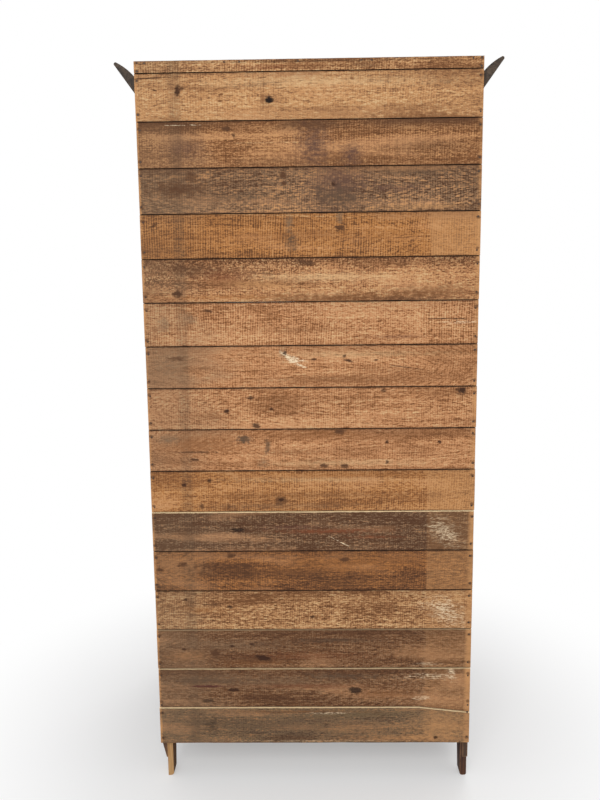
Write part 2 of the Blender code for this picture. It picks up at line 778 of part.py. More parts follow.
def knob_stations():
    """Distance from the door and radius of each ring of a knob on its rose."""
    thickness = 2 * KNOB_RADIUS * KNOB_FLATTENING
    stations = [(0, ROSE_RADIUS), (ROSE_THICKNESS, ROSE_RADIUS * 0.9)]
    stations += [(ROSE_THICKNESS, KNOB_NECK_RADIUS * 1.3), (KNOB_NECK_LENGTH, KNOB_NECK_RADIUS)]
    first = math.asin(KNOB_NECK_RADIUS / KNOB_RADIUS) + 0.12
    for i in range(KNOB_RINGS + 1):
        turn = first + (math.pi * 0.94 - first) * i / KNOB_RINGS
        along = KNOB_NECK_LENGTH + thickness / 2 * (math.cos(first) - math.cos(turn))
        stations.append((along + EASE, KNOB_RADIUS * math.sin(turn)))
    return stations


def build_knobs(frame, carrier, brass):
    """Both knobs, one on each face, with the spindle that joins them through the free stile."""
    face = DOOR_THICKNESS / 2 + FIT
    knob = knob_stations()
    stations = [(-face - along, radius) for along, radius in reversed(knob)]
    stations += [(-face, SPINDLE_RADIUS), (face, SPINDLE_RADIUS)]
    stations += [(face + along, radius) for along, radius in knob]
    middle = (DOOR_OUTER_FACE + DOOR_INNER_FACE) / 2
    place = (FREE_EDGE - DOOR_STILE / 2, middle, KNOB_HEIGHT)
    made = piece("door_knobs", turned(stations, KNOB_SIDES, "Y"), brass, place, carrier)
    made.data.shade_smooth()
    ends = [(side * (face + OVERCUT), SPINDLE_RADIUS + FIT) for side in (-1, 1)]
    cut(frame, guide("door_spindle_bore", turned(ends, KNOB_SIDES, "Y"), place, carrier))


def build_guide(carrier, iron):
    """A rolled strap on the free stile, and the shouldered pin that stands in it."""
    top = DOOR_TOP - GUIDE_STRAP_DROP
    section = rolled_section(KNUCKLE_BORE, GUIDE_STRAP_WIDTH, -1, -1)
    strap = prism(section, "Z", -GUIDE_STRAP_HEIGHT, 0)
    place = (GUIDE_X, JAMB_AXIS.y, top)
    piece("door_guide_strap", strap, iron, place, carrier)
    tail, shoulder = KNUCKLE_BORE - FIT, GUIDE_PIN_RADIUS
    head = FRIEZE_BOTTOM + TRACK_ENGAGEMENT - top
    stations = [(-GUIDE_STRAP_HEIGHT, tail), (FIT, tail), (FIT, shoulder), (head, shoulder)]
    piece("door_guide_pin", turned(stations, PIN_SIDES, "Z"), iron, place, carrier)


def build_door(stain, glass, brass, iron):
    left = empty("door_fold_axis", JAMB_AXIS)
    right = empty("leaf_fold_axis", FOLD_AXIS, left)
    half_gap = HINGE_GAP / 2
    build_leaf("door_left", JAMB_AXIS.x + half_gap, FOLD_AXIS.x - half_gap, left, stain, glass)
    free = build_leaf("door_right", FOLD_AXIS.x + half_gap, FREE_EDGE, right, stain, glass)
    hinge_leaf("jamb_hinge_post_leaf", JAMB_AXIS, -1, -1, True, brass)
    hinge_leaf("jamb_hinge_door_leaf", JAMB_AXIS, 1, -1, False, brass, left)
    hinge_leaf("fold_hinge_left_leaf", FOLD_AXIS, -1, 1, True, brass, left)
    hinge_leaf("fold_hinge_right_leaf", FOLD_AXIS, 1, 1, False, brass, right)
    build_knobs(free, right, brass)
    build_guide(right, iron)


# ---------------------------------------------------------------- inside


def build_seat(stain):
    """A quarter-round seat in the rear right corner, on two cleats."""
    corner = (SIDE_INNER - FIT, SIDE_REAR)
    rim = arc((0, 0), SEAT_RADIUS, math.pi, math.pi * 1.5, SEAT_STEPS)
    top = prism([(0, 0), *rim], "Z", -SEAT_THICKNESS, 0)
    seat = piece("corner_seat", top, stain, (*corner, SEAT_TOP))
    length, depth = CLEAT_LENGTH, CLEAT_THICKNESS
    outline = [(0, 0), (-length, 0), (-length, -depth), (-depth, -depth), (-depth, -length)]
    outline.append((0, -length))
    cleats = prism(outline, "Z", -SEAT_THICKNESS - CLEAT_HEIGHT, -SEAT_THICKNESS / 2)
    joined(seat, guide("corner_seat_cleats", cleats, (*corner, SEAT_TOP)), "UNION")


def build_shelf(stain):
    """A shelf for directories on two cut brackets, against the back."""
    low = (SHELF_CENTRE - SHELF_WIDTH / 2, SIDE_REAR - SHELF_DEPTH, SHELF_TOP - SHELF_THICKNESS)
    shelf = board("directory_shelf", low, (low[0] + SHELF_WIDTH, SIDE_REAR, SHELF_TOP), stain)
    reach, drop, foot = BRACKET_REACH, BRACKET_DROP, BRACKET_FOOT
    sweep = []
    for i in range(BRACKET_STEPS + 1):
        turn = math.pi / 2 * i / BRACKET_STEPS
        along = -reach + (reach - foot) * math.sin(turn)
        sweep.append((along, -drop + (drop - foot) * math.cos(turn)))
    outline = [(0, SHELF_THICKNESS / 2), (-reach, SHELF_THICKNESS / 2), *sweep, (0, -drop)]
    for number, x in enumerate((low[0] + BRACKET_INSET, low[0] + SHELF_WIDTH - BRACKET_INSET)):
        half = BRACKET_THICKNESS / 2
        bracket = prism(outline, "X", x - half, x + half)
        place = (0, SIDE_REAR, SHELF_TOP - SHELF_THICKNESS)
        joined(shelf, guide(f"directory_shelf_bracket_{number + 1}", bracket, place), "UNION")


def build_backboard(stain):
    """The board that the instrument is screwed to."""
    low = (SHELF_CENTRE - BACKBOARD_WIDTH / 2, SIDE_REAR - BACKBOARD_THICKNESS, BACKBOARD_BOTTOM)
    high = (low[0] + BACKBOARD_WIDTH, SIDE_REAR, BACKBOARD_BOTTOM + BACKBOARD_HEIGHT)
    made = board("telephone_backboard", low, high, stain)
    corners = made.data.vertices
    front = [e for e in made.data.edges if all(corners[v].co.y == 0 for v in e.vertices)]
    weights = made.data.attributes.new("bevel_weight_edge", "FLOAT", "EDGE")
    for edge in front:
        weights.data[edge.index].value = 1.0
    bevel = made.modifiers.new("front chamfer", "BEVEL")
    bevel.width = BACKBOARD_CHAMFER
    bevel.segments = 1
    bevel.limit_method = "WEIGHT"


# ---------------------------------------------------------------- the booth


def build_booth():
    for item in list(bpy.data.objects):
        bpy.data.objects.remove(item)
    stain = finish("stained_wood", STAINED_WOOD, 0.45)
    pine = finish("raw_pine", RAW_PINE, 0.75)
    brass = finish("aged_brass", BRASS, 0.35, metallic=1.0)
    iron = finish("dark_iron", DARK_IRON, 0.5, metallic=1.0)
    glass = finish("clear_glass", CLEAR_GLASS, 0.05, alpha=0.3)

    build_back()
    build_side("side_left", -1, stain)
    build_side("side_right", 1, stain)
    build_legs(pine, stain)
    build_floor_and_roof(pine)
    build_crown(stain)
    build_front(stain, pine)
    build_door(stain, glass, brass, iron)
    build_seat(stain)
    build_shelf(stain)
    build_backboard(stain)


build_booth()
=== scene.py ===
# %% [markdown]
# # A wooden telephone booth, seen from behind
#
# The booth is a joiner's case. Sixteen rough-sawn pine boards are nailed across its back, over the
# rear edges of the two framed sides. The front, which faces away, has two posts, a frieze board, a
# sprung crown moulding and a folding door that runs in a track.
#
# The solid model comes first and stays where it is. Each step below either gives one of its
# pieces a better finish, or puts a more detailed piece in its place.

# %% The frame
import json
import math
import random

import bpy
from mathutils import Matrix, Vector

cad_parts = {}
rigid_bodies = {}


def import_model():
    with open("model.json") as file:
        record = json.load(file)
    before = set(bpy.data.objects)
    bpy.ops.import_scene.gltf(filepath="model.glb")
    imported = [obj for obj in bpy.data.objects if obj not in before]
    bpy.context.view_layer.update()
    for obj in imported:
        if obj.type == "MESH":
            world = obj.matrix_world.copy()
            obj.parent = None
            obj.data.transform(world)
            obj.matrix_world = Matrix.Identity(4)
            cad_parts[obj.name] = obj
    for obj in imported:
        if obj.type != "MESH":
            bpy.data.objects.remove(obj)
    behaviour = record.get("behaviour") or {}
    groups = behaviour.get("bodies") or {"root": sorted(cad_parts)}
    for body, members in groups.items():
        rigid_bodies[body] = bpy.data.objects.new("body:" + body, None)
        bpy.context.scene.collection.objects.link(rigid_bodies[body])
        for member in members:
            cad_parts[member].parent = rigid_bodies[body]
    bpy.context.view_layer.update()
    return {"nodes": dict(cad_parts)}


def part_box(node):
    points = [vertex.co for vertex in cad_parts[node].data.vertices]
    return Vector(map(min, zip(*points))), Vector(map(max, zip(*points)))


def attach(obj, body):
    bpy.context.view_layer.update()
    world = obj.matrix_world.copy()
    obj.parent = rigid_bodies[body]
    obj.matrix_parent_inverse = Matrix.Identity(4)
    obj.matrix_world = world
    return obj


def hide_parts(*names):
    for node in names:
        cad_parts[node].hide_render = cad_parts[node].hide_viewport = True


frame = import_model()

nodes = frame["nodes"]
scene = bpy.context.scene

# %% [markdown]
# ## Where the camera stands
#
# The corners of the back, the crown's two ends and the feet fix the camera. It stands behind the
# booth at a person's chest height, about 2.2 m from the boards, and looks down a little, so
# the sides of the back draw together towards the floor. A short lens of about 34 mm on a
# 36 mm sensor gives that strong taper. The three small turns are read in order: level, pitch,
# lean.

# %% The camera
BACK_FACE_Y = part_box("back_board_01")[1].y
BACK_BOTTOM_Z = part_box("back_board_16")[0].z
CAMERA_FROM_BACK = 2.1715
CAMERA_OVER_BOTTOM = 1.4013
CAMERA_ASIDE = -0.0022
CAMERA_YAW, CAMERA_PITCH, CAMERA_ROLL = 0.01631, -0.14426, -0.01126

lens = bpy.data.cameras.new("viewpoint")
lens.lens, lens.sensor_width = 33.75, 36.0
camera = bpy.data.objects.new("viewpoint", lens)
scene.collection.objects.link(camera)
turn = (Matrix.Rotation(CAMERA_YAW, 3, "Y") @ Matrix.Rotation(CAMERA_PITCH, 3, "X")
        @ Matrix.Rotation(CAMERA_ROLL, 3, "Z"))
facing_back = Matrix(((-1, 0, 0), (0, 0, 1), (0, 1, 0)))
camera.matrix_world = (
    Matrix.Translation((CAMERA_ASIDE, BACK_FACE_Y + CAMERA_FROM_BACK,
                        BACK_BOTTOM_Z + CAMERA_OVER_BOTTOM))
    @ (facing_back @ turn).to_4x4())
scene.camera = camera
print("camera at", [round(v, 3) for v in camera.location])

# %% [markdown]
# ## Shader maths as sentences
#
# Wood is layer on layer: grain, saw marks, dirt, stains. Wiring that by hand is slow to read, so a
# small class wraps a socket, and +, -, * and / on it add Math nodes. A finish then reads as
# arithmetic, and so do the geometry trees further down. Colours go through Mix nodes and
# places through Vector Math, because a Math node would turn a colour grey.

# %% The shader helpers
class Amount:
    """A number or vector that varies from place to place: one output socket."""

    def __init__(self, wiring, socket):
        self.wiring, self.socket = wiring, socket

    def __add__(self, other):
        return self.wiring.math("ADD", self, other)

    def __sub__(self, other):
        return self.wiring.math("SUBTRACT", self, other)

    def __rsub__(self, other):
        return self.wiring.math("SUBTRACT", other, self)

    def __mul__(self, other):
        return self.wiring.math("MULTIPLY", self, other)

    def __truediv__(self, other):
        return self.wiring.math("DIVIDE", self, other)

    def __rtruediv__(self, other):
        return self.wiring.math("DIVIDE", other, self)

    def __abs__(self):
        return self.wiring.math("ABSOLUTE", self)

    def most(self, other):
        return self.wiring.math("MAXIMUM", self, other)

    def least(self, other):
        return self.wiring.math("MINIMUM", self, other)

    def step(self, low, high):
        """0 below low, 1 above high, and smooth between; low may be the larger."""
        return self.wiring.node("MapRange", {"interpolation_type": "SMOOTHSTEP"},
                                {"Value": self, "From Min": low, "From Max": high})

    __radd__, __rmul__ = __add__, __mul__


class Wiring:
    """A node tree under construction."""

    def __init__(self, tree):
        self.tree = tree

    def node(self, kind, settings=None, values=None, output=0):
        """Any node: its type, then its settings, then what its sockets hold or are fed by."""
        made = self.tree.nodes.new(kind if "Node" in kind else "ShaderNode" + kind)
        for name, value in (settings or {}).items():
            if name == "stops":
                self._ramp(made.color_ramp, value)
            else:
                setattr(made, name, value)
        for name, value in (values or {}).items():
            self.feed(self._socket(made.inputs, name), value)
        return Amount(self, self._socket(made.outputs, output))

    @staticmethod
    def _socket(sockets, name):
        """By identifier where there is one, as a Mix node has several sockets of one name."""
        return {s.identifier: s for s in sockets}.get(name) or sockets[name]

    @staticmethod
    def _ramp(ramp, stops):
        while len(ramp.elements) < len(stops):
            ramp.elements.new(1.0)
        for element, (position, colour) in zip(ramp.elements, stops):
            element.position = position
            element.color = (*colour, 1.0)

    def feed(self, socket, value):
        if isinstance(value, Amount):
            self.tree.links.new(value.socket, socket)
        elif socket.type == "RGBA":
            socket.default_value = (*value[:3], 1.0)
        else:
            socket.default_value = value

    def math(self, operation, first, second=0.0):
        return self.node("Math", {"operation": operation}, {0: first, 1: second})

    def vector(self, x=0.0, y=0.0, z=0.0):
        return self.node("CombineXYZ", None, {0: x, 1: y, 2: z})

    def parts(self, vector):
        split = self.node("SeparateXYZ", None, {0: vector}).socket.node
        return [Amount(self, split.outputs[i]) for i in range(3)]


class Finish(Wiring):
    """A material under construction."""

    def __init__(self, name):
        self.material = bpy.data.materials.new(name)
        self.material.use_nodes = True
        super().__init__(self.material.node_tree)
        self.shader = self.tree.nodes["Principled BSDF"]
        self.output = self.tree.nodes["Material Output"]
        self.place = self.node("TexCoord", output="Object")

    def mix(self, factor, first, second):
        """The first colour, and as much of the second as factor says."""
        return self.node("Mix", {"data_type": "RGBA"}, {
            "Factor_Float": factor, "A_Color": first, "B_Color": second}, "Result_Color")

    def stretched(self, x, y, z, shift=0.0):
        """The place on the piece, scaled along each axis and moved."""
        return self.node("VectorMath", {"operation": "MULTIPLY_ADD"},
                         {0: self.place, 1: (x, y, z), 2: (shift, 1.7 * shift, 2.3 * shift)})

    def noise(self, x, y, z, shift=0.0, detail=3.0, roughness=0.55, distortion=0.0):
        """Noise with that many lumps to the metre along each axis, mostly from 0.3 to 0.7."""
        return self.node("TexNoise", None, {
            "Vector": self.stretched(x, y, z, shift), "Scale": 1.0, "Detail": detail,
            "Roughness": roughness, "Distortion": distortion})

    def finished(self, colour, roughness, height=None, depth=0.001, **uniform):
        """Wires the shader; uniform values go straight on its sockets."""
        self.feed(self.shader.inputs["Base Color"], colour)
        self.feed(self.shader.inputs["Roughness"], roughness)
        for name, value in uniform.items():
            self.feed(self.shader.inputs[name.replace("_", " ")], value)
        if height is not None:
            bump = self.node("Bump", None, {"Distance": depth, "Height": height}, "Normal")
            self.feed(self.shader.inputs["Normal"], bump)
        return self.material


print("shader helpers ready")

# %% [markdown]
# ## A plain studio
#
# The booth stands on a pale floor under broad, soft lamps: one behind the camera and above it,
# one over the front of the booth, and an even white surround. The level is plain, so a colour
# comes out about as it is written. Far from the booth the floor passes into the
# white of the surround, and near the booth it keeps the soft shadow.

# %% The floor, the surround and the lamps
FLOOR_REACH = 9.0
SHADOW_REACH, WHITE_REACH = 0.55, 1.45
NEAR_WHITE = 0.35

floor_mesh = bpy.data.meshes.new("studio_floor")
floor_mesh.from_pydata([(-FLOOR_REACH, -FLOOR_REACH, 0), (FLOOR_REACH, -FLOOR_REACH, 0),
                        (FLOOR_REACH, FLOOR_REACH, 0), (-FLOOR_REACH, FLOOR_REACH, 0)],
                       [], [(0, 1, 2, 3)])
studio_floor = bpy.data.objects.new("studio_floor", floor_mesh)
scene.collection.objects.link(studio_floor)
floor_finish = Finish("pale_floor")
from_booth = floor_finish.node("VectorMath", {"operation": "LENGTH"},
                               {0: floor_finish.place}, "Value")
paint = floor_finish.finished((0.88, 0.88, 0.88), 0.9)
glow = floor_finish.node("Emission", None, {"Color": (1, 1, 1), "Strength": 1.0})
seen = floor_finish.node("LightPath", output="Is Camera Ray")
far_white = floor_finish.node("MixShader", None, {
    0: (from_booth.step(SHADOW_REACH, WHITE_REACH) * (1.0 - NEAR_WHITE) + NEAR_WHITE) * seen,
    1: Amount(floor_finish, floor_finish.shader.outputs[0]), 2: glow})
floor_finish.feed(floor_finish.output.inputs["Surface"], far_white)
floor_mesh.materials.append(paint)

surround = bpy.data.worlds.new("white_surround")
scene.world = surround
surround.use_nodes = True
SURROUND_LEVEL = 0.62
sky = Wiring(surround.node_tree)
background = sky.tree.nodes["Background"]
camera_ray, glossy_ray, through_glass = (
    sky.node("LightPath", output=f"Is {ray} Ray") for ray in ("Camera", "Glossy", "Transmission"))
sky.feed(background.inputs["Color"], (1, 1, 1))
sky.feed(background.inputs["Strength"], sky.node("MapRange", None, {
    "Value": camera_ray.most(glossy_ray).most(through_glass), "To Min": SURROUND_LEVEL,
    "To Max": 1.0}))


def soft_lamp(name, place, aim, width, height, power):
    """A rectangular lamp that looks at aim."""
    light = bpy.data.lights.new(name, "AREA")
    light.shape, light.size, light.size_y, light.energy = "RECTANGLE", width, height, power
    lamp = bpy.data.objects.new(name, light)
    scene.collection.objects.link(lamp)
    lamp.location = place
    lamp.rotation_euler = (Vector(aim) - Vector(place)).to_track_quat("-Z", "Y").to_euler()


LAMP = dict(width=3.0, height=2.0, power=95)
soft_lamp("lamp_behind_camera", (0.6, 4.4, 3.6), (0, 0.4, 1.1), **LAMP)
soft_lamp("lamp_over_front", (-1.8, -4.6, 3.4), (0, -0.4, 1.1), **LAMP)
scene.view_settings.view_transform = "Standard"
print("floor, surround and two lamps made")

# %% [markdown]
# ## Rough-sawn back boards
#
# Each board is pine as it left a circular or frame saw: flat overall, with shallow ripples across
# it where the teeth bit, edges that wander by less than a millimetre, and ends cut by
# hand, so no two stop in exactly the same line. One rule makes them all, so a Geometry Nodes tree
# suits it: a finely divided block whose points are moved by ripples, cupping and wander. The
# seam between the last two boards drops at one end, where one board was cut to fit the other.

# %% The sawn board tree
class Tree(Wiring):
    """A Geometry Nodes tree under construction."""

    def __init__(self, name, inputs):
        super().__init__(bpy.data.node_groups.new(name, "GeometryNodeTree"))
        self.ids = {}
        self._open("Geometry", "Geometry", "INPUT")
        for label, (kind, value) in inputs.items():
            item = self._open(label, kind, "INPUT")
            if value is not None:
                item.default_value = value
            self.ids[label] = item.identifier
        self._open("Geometry", "Geometry", "OUTPUT")
        self.entry = self.tree.nodes.new("NodeGroupInput")
        self.exit = self.tree.nodes.new("NodeGroupOutput")

    def _open(self, label, kind, way):
        return self.tree.interface.new_socket(label, in_out=way,
                                              socket_type="NodeSocket" + kind)

    def given(self, label):
        return Amount(self, self.entry.outputs[label])

    def end(self, geometry, material):
        """Makes the instances real, gives them their material and ends the tree."""
        solid = self.node("GeometryNodeRealizeInstances", None, {"Geometry": geometry})
        self.feed(self.exit.inputs[0], self.node("GeometryNodeSetMaterial", None, {
            "Geometry": solid, "Material": self.given(material)}))
        return self

    def place(self, obj, values):
        """Runs the tree on obj with these inputs and returns its result as a plain mesh."""
        run = obj.modifiers.new(self.tree.name, "NODES")
        run.node_group = self.tree
        for label, value in values.items():
            run[self.ids[label]] = value
        bpy.context.view_layer.update()
        evaluated = obj.evaluated_get(bpy.context.evaluated_depsgraph_get())
        mesh = bpy.data.meshes.new_from_object(evaluated)
        obj.modifiers.remove(run)
        return mesh


def sawn_board_tree():
    t = Tree("sawn_board", {
        "Low Corner": ("Vector", None), "High Corner": ("Vector", None),
        "Ripple Pitch": ("Float", 0.0085), "Ripple Depth": ("Float", 0.00022),
        "Edge Wander": ("Float", 0.0009), "Cup": ("Float", 0.0006),
        "Seam": ("Float", 0.0011),
        "Trim High X": ("Float", 0.0), "Trim Low X": ("Float", 0.0),
        "Drop Start": ("Float", 0.0), "Drop Run": ("Float", 1.0),
        "Top Drop": ("Float", 0.0), "Bottom Drop": ("Float", 0.0),
        "Steps Along": ("Int", 300), "Steps Across": ("Int", 12),
        "Seed": ("Float", 0.0), "Wood": ("Material", None)})
    low, high = t.parts(t.given("Low Corner")), t.parts(t.given("High Corner"))
    block = t.node("GeometryNodeMeshCube", None, {
        "Size": (2.0, 2.0, 2.0), "Vertices X": t.given("Steps Along"), "Vertices Y": 5,
        "Vertices Z": t.given("Steps Across")})
    unit = t.parts(t.node("GeometryNodeInputPosition"))

    def between(a, b, share):
        """From a to b as share goes from -1 to 1."""
        return t.node("MapRange", None, {"Value": share, "From Min": -1.0, "From Max": 1.0,
                                         "To Min": a, "To Max": b})

    def clamped(value):
        return t.node("Clamp", None, {"Value": value})

    x = between(low[0] + t.given("Trim Low X"), high[0] - t.given("Trim High X"), unit[0])

    def noise(scale_x, scale_z, offset):
        """Noise from -1 to 1 along the board."""
        place = t.vector(x * scale_x, t.given("Seed") + offset, unit[2] * scale_z)
        return t.node("TexNoise", None, {"Vector": place, "Scale": 1.0,
                                         "Detail": 2.0}) * 4.0 - 2.0

    # the seam that drops: nothing before Drop Start, then a straight fall over Drop Run
    fallen = clamped((t.given("Drop Start") - x) / t.given("Drop Run"))
    top = high[2] - fallen * t.given("Top Drop")
    bottom = low[2] - fallen * t.given("Bottom Drop")
    # a board nearly meets the next at the back of the seam; its face is worn back from it
    face = clamped(unit[1] * 2.0 - 1.0)
    wander_top, wander_low = (
        face * (abs(noise(scale, 0.0, offset)) * t.given("Edge Wander") + t.given("Seam"))
        - t.given("Seam") for scale, offset in ((9.0, 3.0), (7.0, 11.0)))
    z = between(bottom + wander_low, top - wander_top, unit[2])
    # saw ripples lean a little, come and go, and only mark the faces
    phase = (unit[2] * 0.0015 + x) / t.given("Ripple Pitch")
    swing = t.math("SINE", (phase + noise(5.0, 0.3, 20.0)) * (2 * math.pi))
    ripple = swing * clamped(noise(6.0, 1.2, 30.0)) * t.given("Ripple Depth")
    cup = unit[2] * unit[2] * t.given("Cup")
    sunk = abs(ripple) + cup + abs(noise(30.0, 6.0, 40.0)) * 0.00012
    y = between(low[1], high[1], unit[1]) - sunk * unit[1]
    shaped = t.node("GeometryNodeSetPosition", None,
                    {"Geometry": block, "Position": t.vector(x, y, z)})
    return t.end(shaped, "Wood")


board_tree = sawn_board_tree()
print("sawn board tree:", len(board_tree.tree.nodes), "nodes")

# %% [markdown]
# ## The colour of old sawn pine
#
# Under the dirt the boards are honey and amber. Grain runs along them in streaks, and thin dark
# saw lines cross it. Flat-sawn boards also show arches, nested round one place along them. The
# tone is worked out as one number from dark to light and then passes through the board's own
# ramp of colours. After that come its own marks: knots, water stains, scuffs and cracks. A band
# near both ends, where little dirt reached, stays pale. A mark is an ellipse whose edge a noise
# breaks up; its middle and half sizes are in millimetres, across from the middle of the back
# and up from its lower edge.

# %% The sawn pine finish
TONES = {
    "cream": (0.70, 0.46, 0.235), "honey": (0.58, 0.296, 0.124), "tan": (0.42, 0.208, 0.092),
    "amber": (0.48, 0.205, 0.062), "orange": (0.37, 0.148, 0.044), "burnt": (0.29, 0.118, 0.043),
    "russet": (0.22, 0.068, 0.028), "pink": (0.55, 0.258, 0.116), "brown": (0.21, 0.088, 0.034),
    "umber": (0.105, 0.046, 0.022), "grey": (0.22, 0.138, 0.080), "slate": (0.115, 0.070, 0.042),
    "plum": (0.125, 0.062, 0.044), "maroon": (0.105, 0.036, 0.026), "moss": (0.19, 0.130, 0.066),
    "knot": (0.045, 0.018, 0.010), "black": (0.016, 0.009, 0.007), "chalk": (0.88, 0.70, 0.47),
    # raw: bare wood on the boards' top edges, made paler than bare wood as a painted highlight
    "peach": (0.62, 0.310, 0.146), "raw": (0.95, 0.71, 0.41),
    "straw": (0.74, 0.49, 0.255), "dust": (0.27, 0.215, 0.155),
}
END_BAND, RIGHT_BAND_MORE, BAND_STRENGTH, BAND_RAGGED = 0.0060, 0.0125, 0.8, 0.014
NAIL_INSET, NAIL_STAIN = 0.0075, (0.0066, 0.0050)
NAIL_SHARES = (0.86, 0.15)
GHOST_NEAR, GHOST_FAR, GHOST_BLUR, GHOST_FAR_BLUR = 0.357, 0.388, 0.006, 0.010
INNER_FACE, SEAM_DEPTH, END_CLEAR = (0.0040, 0.0012), (0.0006, 0.0016), (0.0025, 0.0060)
SAW_PITCH, SAW_LEAN = 0.0070, 0.03
ARCHES_ACROSS, ARCHES_ALONG, ARCH_DEPTH = 9.0, 34.0, 0.15
KEPT_CLEAN, KEPT_BLUR = -0.342, 0.005
WASH_FROM = 0.0003
WASH_STRENGTH, SCUFF_STRENGTH = 1.25, 1.5
SHINE = 0.45
SEAM_DROP, SEAM_RUN = 0.018, 0.157
high_of_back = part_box("back_top_strip")[1].z


def mark_mask(f, across, up, wide, tall, turned, wobble, x, z):
    """1 inside an ellipse on the back, 0 outside, with an edge broken by wobble."""
    spot = f.vector(x, 0.0, z)
    local = f.node("Mapping", {"vector_type": "TEXTURE"}, {
        "Vector": spot, "Location": (across, 0, up), "Rotation": (0, math.radians(-turned), 0),
        "Scale": (wide, 1.0, tall)})
    reach = f.node("VectorMath", {"operation": "LENGTH"}, {0: local}, "Value")
    inner = 0.45 if wide * tall < WASH_FROM else -0.30
    return (reach + (wobble - 0.5) * 2.6).step(1.30, inner)


